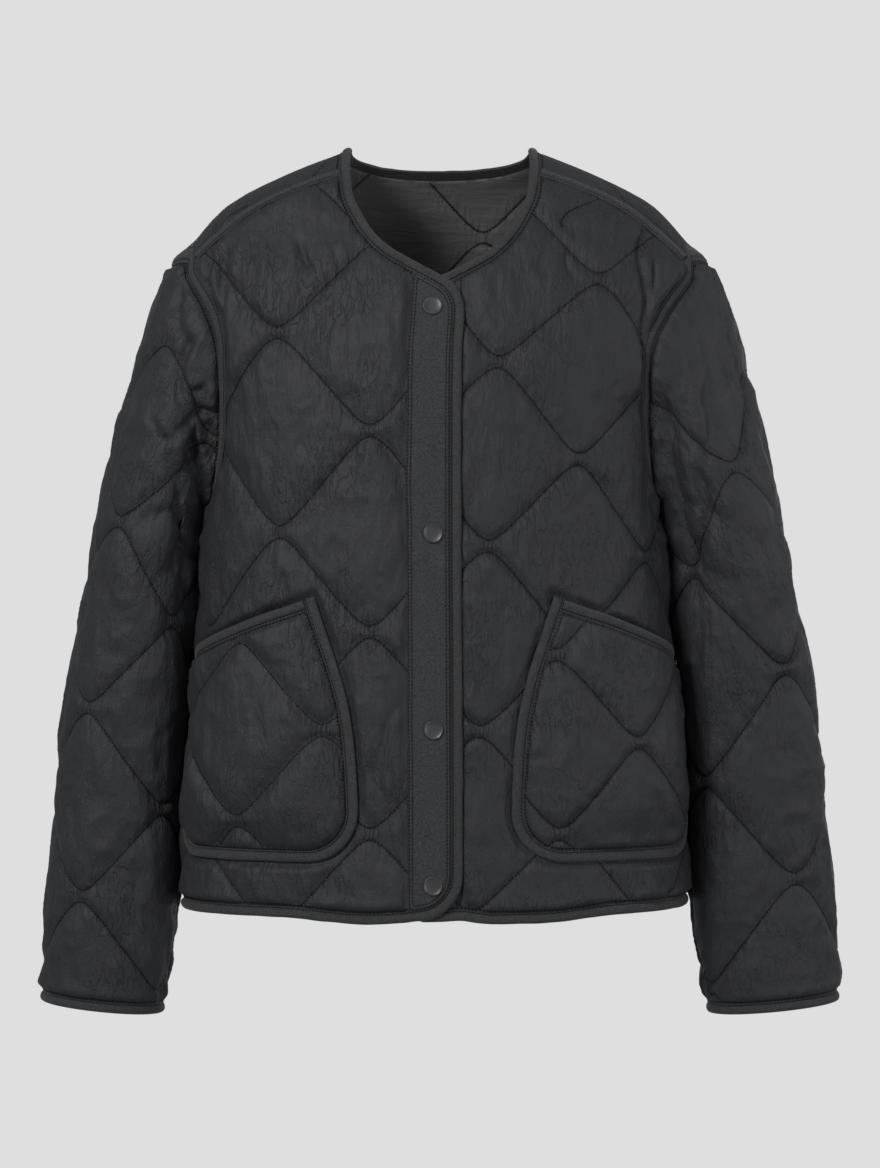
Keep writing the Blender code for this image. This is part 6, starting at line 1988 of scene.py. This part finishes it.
for name, side in SIDES.items():
    hole = armholes[side]
    front = on_front(f"front_{name}")
    start = NECK_FRONT[-1].across + BINDING_WIDTH - TAPE_NECK_TUCK
    end = SEAM_END - TAPE_INSET - TAPE_WIDTH + TAPE_ARMHOLE_TUCK
    seam = shoulder_seam(front_form, start, end, 0)
    stations = lay_tape(front, seam, lengths(seam), -TAPE_WIDTH / 2, 130 + side, side)
    ribbon(f"shoulder_tape_{name}_twill", f"shoulder_tape_{name}", stations, TAPE_ACROSS, tape_twill)

    down = lay_tape(front, hole.front, hole.front_marks, TAPE_INSET, 140 + side, side)[::-1]
    up = lay_tape(on_back, hole.back, hole.back_marks, TAPE_INSET, 150 + side, side)
    stations = join(down, up)
    if np.linalg.norm(stations[0].mean(axis=0) - stations[-1].mean(axis=0)) < TAPE_ENDS_APART:
        stations = stations[:-1]
    ribbon(f"armhole_tape_{name}_twill", f"armhole_tape_{name}", stations, TAPE_ACROSS, tape_twill, True)


# === Placket ===============================================================================================
# A flat twill facing strip runs down the right front beside its bound edge, under the snaps. Two rows of
# stitches hold it all round.

PLACKET_EDGE = 0.0205
PLACKET_HEIGHT = 0.0010
PLACKET_LOW = EDGE_WALL + 0.0003
PLACKET_UNDER = 0.0002
PLACKET_COVER = 0.0004  # the binding covers the strip's edge by this
PLACKET_GRID = 0.0024
PLACKET_ROWS = (0.0010, 0.0034)
PLACKET_EDGE_CLEAR = 0.0006
PLACKET_CRUMPLE = Crumple(0.00035, 0.0190, 1.0)
PLACKET_GATHERS = (Gather(0.00030, 0.0050, 0.0060),)
SnapPlace = namedtuple("SnapPlace", "across up")
SNAPS = (
    SnapPlace(-0.0038, 0.4817),
    SnapPlace(-0.0005, 0.3026),
    SnapPlace(-0.0009, 0.1494),
    SnapPlace(-0.0015, 0.0279),
)
SNAP_DENT = 0.0006  # each cap presses the strip in
SNAP_DENT_REACH = 0.011


def placket_outline():
    edge = bound_edges["front_right"]
    points = beside(edge.line, edge.marks, BINDING_WIDTH - PLACKET_COVER)
    points = points[points[:, 0] < PLACKET_EDGE - PLACKET_EDGE_CLEAR]
    low, high = points[-1, 1], points[0, 1]
    ups = np.linspace(low, high, int((high - low) / EDGE_GRID))
    side = np.stack([np.full_like(ups, PLACKET_EDGE), ups], axis=1)
    return np.concatenate([points, side]) * [-1, 1]


def cut_placket():
    outline = placket_outline()
    flat, faces, _ = cut_flat(outline, [], PLACKET_GRID)
    away, run, _ = Lines([closed(outline)]).near(flat)
    crest = smoothstep(away / 0.0016) * (1 - 0.35 * np.exp(-((away - PLACKET_ROWS[1]) / 0.0006) ** 2))
    soft = PLACKET_CRUMPLE.height * lumps(flat, PLACKET_CRUMPLE.size, 61) * smoothstep(away / 0.004)
    soft += gathered(run, away, PLACKET_GATHERS, 62) * smoothstep(away / 0.0015)
    from_snap = np.min(np.linalg.norm(flat[:, None] - np.array(SNAPS), axis=2), axis=1)
    soft -= SNAP_DENT * np.exp(-(from_snap / SNAP_DENT_REACH) ** 2)
    ground = on_front("front_right")
    upper = ground(flat, PLACKET_LOW + PLACKET_HEIGHT * (0.45 + 0.55 * crest) + soft)
    lower = ground(flat, np.full(len(flat), PLACKET_LOW - PLACKET_UNDER))
    mesh = bpy.data.meshes.new("placket_twill")
    mesh.from_pydata(np.concatenate([upper, lower]).tolist(), [], closed_wall(faces, len(flat)).tolist())
    keep_measures(mesh, {"across": np.tile(away, 2), "run": np.tile(run, 2)})
    mesh.shade_smooth()
    mesh.materials.append(twill("binding_twill_placket", PLACKET_ROWS))
    piece = put("placket_twill", mesh)
    in_edit_mode(piece, face_outwards)
    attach(piece, "root")
    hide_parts("placket")


cut_placket()


# === Snaps =================================================================================================
# Four pressed metal caps with a black lacquer hold the front closed. Each is a shallow dish inside a rolled
# rim, seated in the placket.

SNAP_RADIUS = 0.0076
SNAP_SIDES = 64
SNAP_WALL = 0.0009
SNAP_SHARP = math.radians(50)
SNAP_OUT = PLACKET_LOW + PLACKET_HEIGHT * 0.8
LACQUER_COLOUR = (0.062, 0.062, 0.064, 1.0)
LACQUER_DUST = (0.092, 0.092, 0.094, 1.0)
SnapStep = namedtuple("SnapStep", "inwards rise")
SNAP_STEPS = (
    SnapStep(0.00020, 0.00045),
    SnapStep(0.00030, 0.00025),
    SnapStep(0.00035, 0.00002),
    SnapStep(0.00030, -0.00022),
    SnapStep(0.00080, -0.00026),
    SnapStep(0.00120, -0.00022),
    SnapStep(0.00140, -0.00014),
    SnapStep(0.00130, -0.00006),
)

lacquer = Finish("snap_lacquer", 0.34, specular=0.6)
scuffs = lacquer.noise(lacquer.object_place(), 900.0, 4.0, 0.6)
dust = lacquer.noise(lacquer.object_place(), 260.0, 3.0, 0.6)
lacquer.paint(LACQUER_COLOUR, [(dust, LACQUER_DUST)])
lacquer.give("Roughness", 0.34 + scuffs * 0.16)
lacquer.emboss([(scuffs, 0.08, 0.0002)])
lacquer.shader.inputs["Metallic"].default_value = 0.55


def press_cap():
    bpy.ops.mesh.extrude_region_move(TRANSFORM_OT_translate={"value": (0.0, 0.0, SNAP_WALL)})
    for step in SNAP_STEPS:
        bpy.ops.mesh.inset(thickness=step.inwards, depth=step.rise)
    bpy.ops.mesh.select_all(action="SELECT")
    face_outwards()


bpy.ops.object.select_all(action="DESELECT")
bpy.ops.mesh.primitive_circle_add(vertices=SNAP_SIDES, radius=SNAP_RADIUS, fill_type="NGON")
cap = bpy.context.object
in_edit_mode(cap, press_cap)
bpy.ops.object.shade_smooth_by_angle(angle=SNAP_SHARP)
cap.data.materials.append(lacquer.material)
for number, row in enumerate(SNAPS, 1):
    piece = put(f"snap_{number}_cap", cap.data.copy())
    seat = on_front("front_right")(np.array([row]), SNAP_OUT)[0]
    turned = Vector(front_form.normal(*row)).to_track_quat("Z", "Y").to_matrix().to_4x4()
    turned.translation = Vector(seat)
    piece.data.transform(turned)
    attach(piece, "root")
    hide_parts(f"snap_{number}")
bpy.data.objects.remove(cap, do_unlink=True)
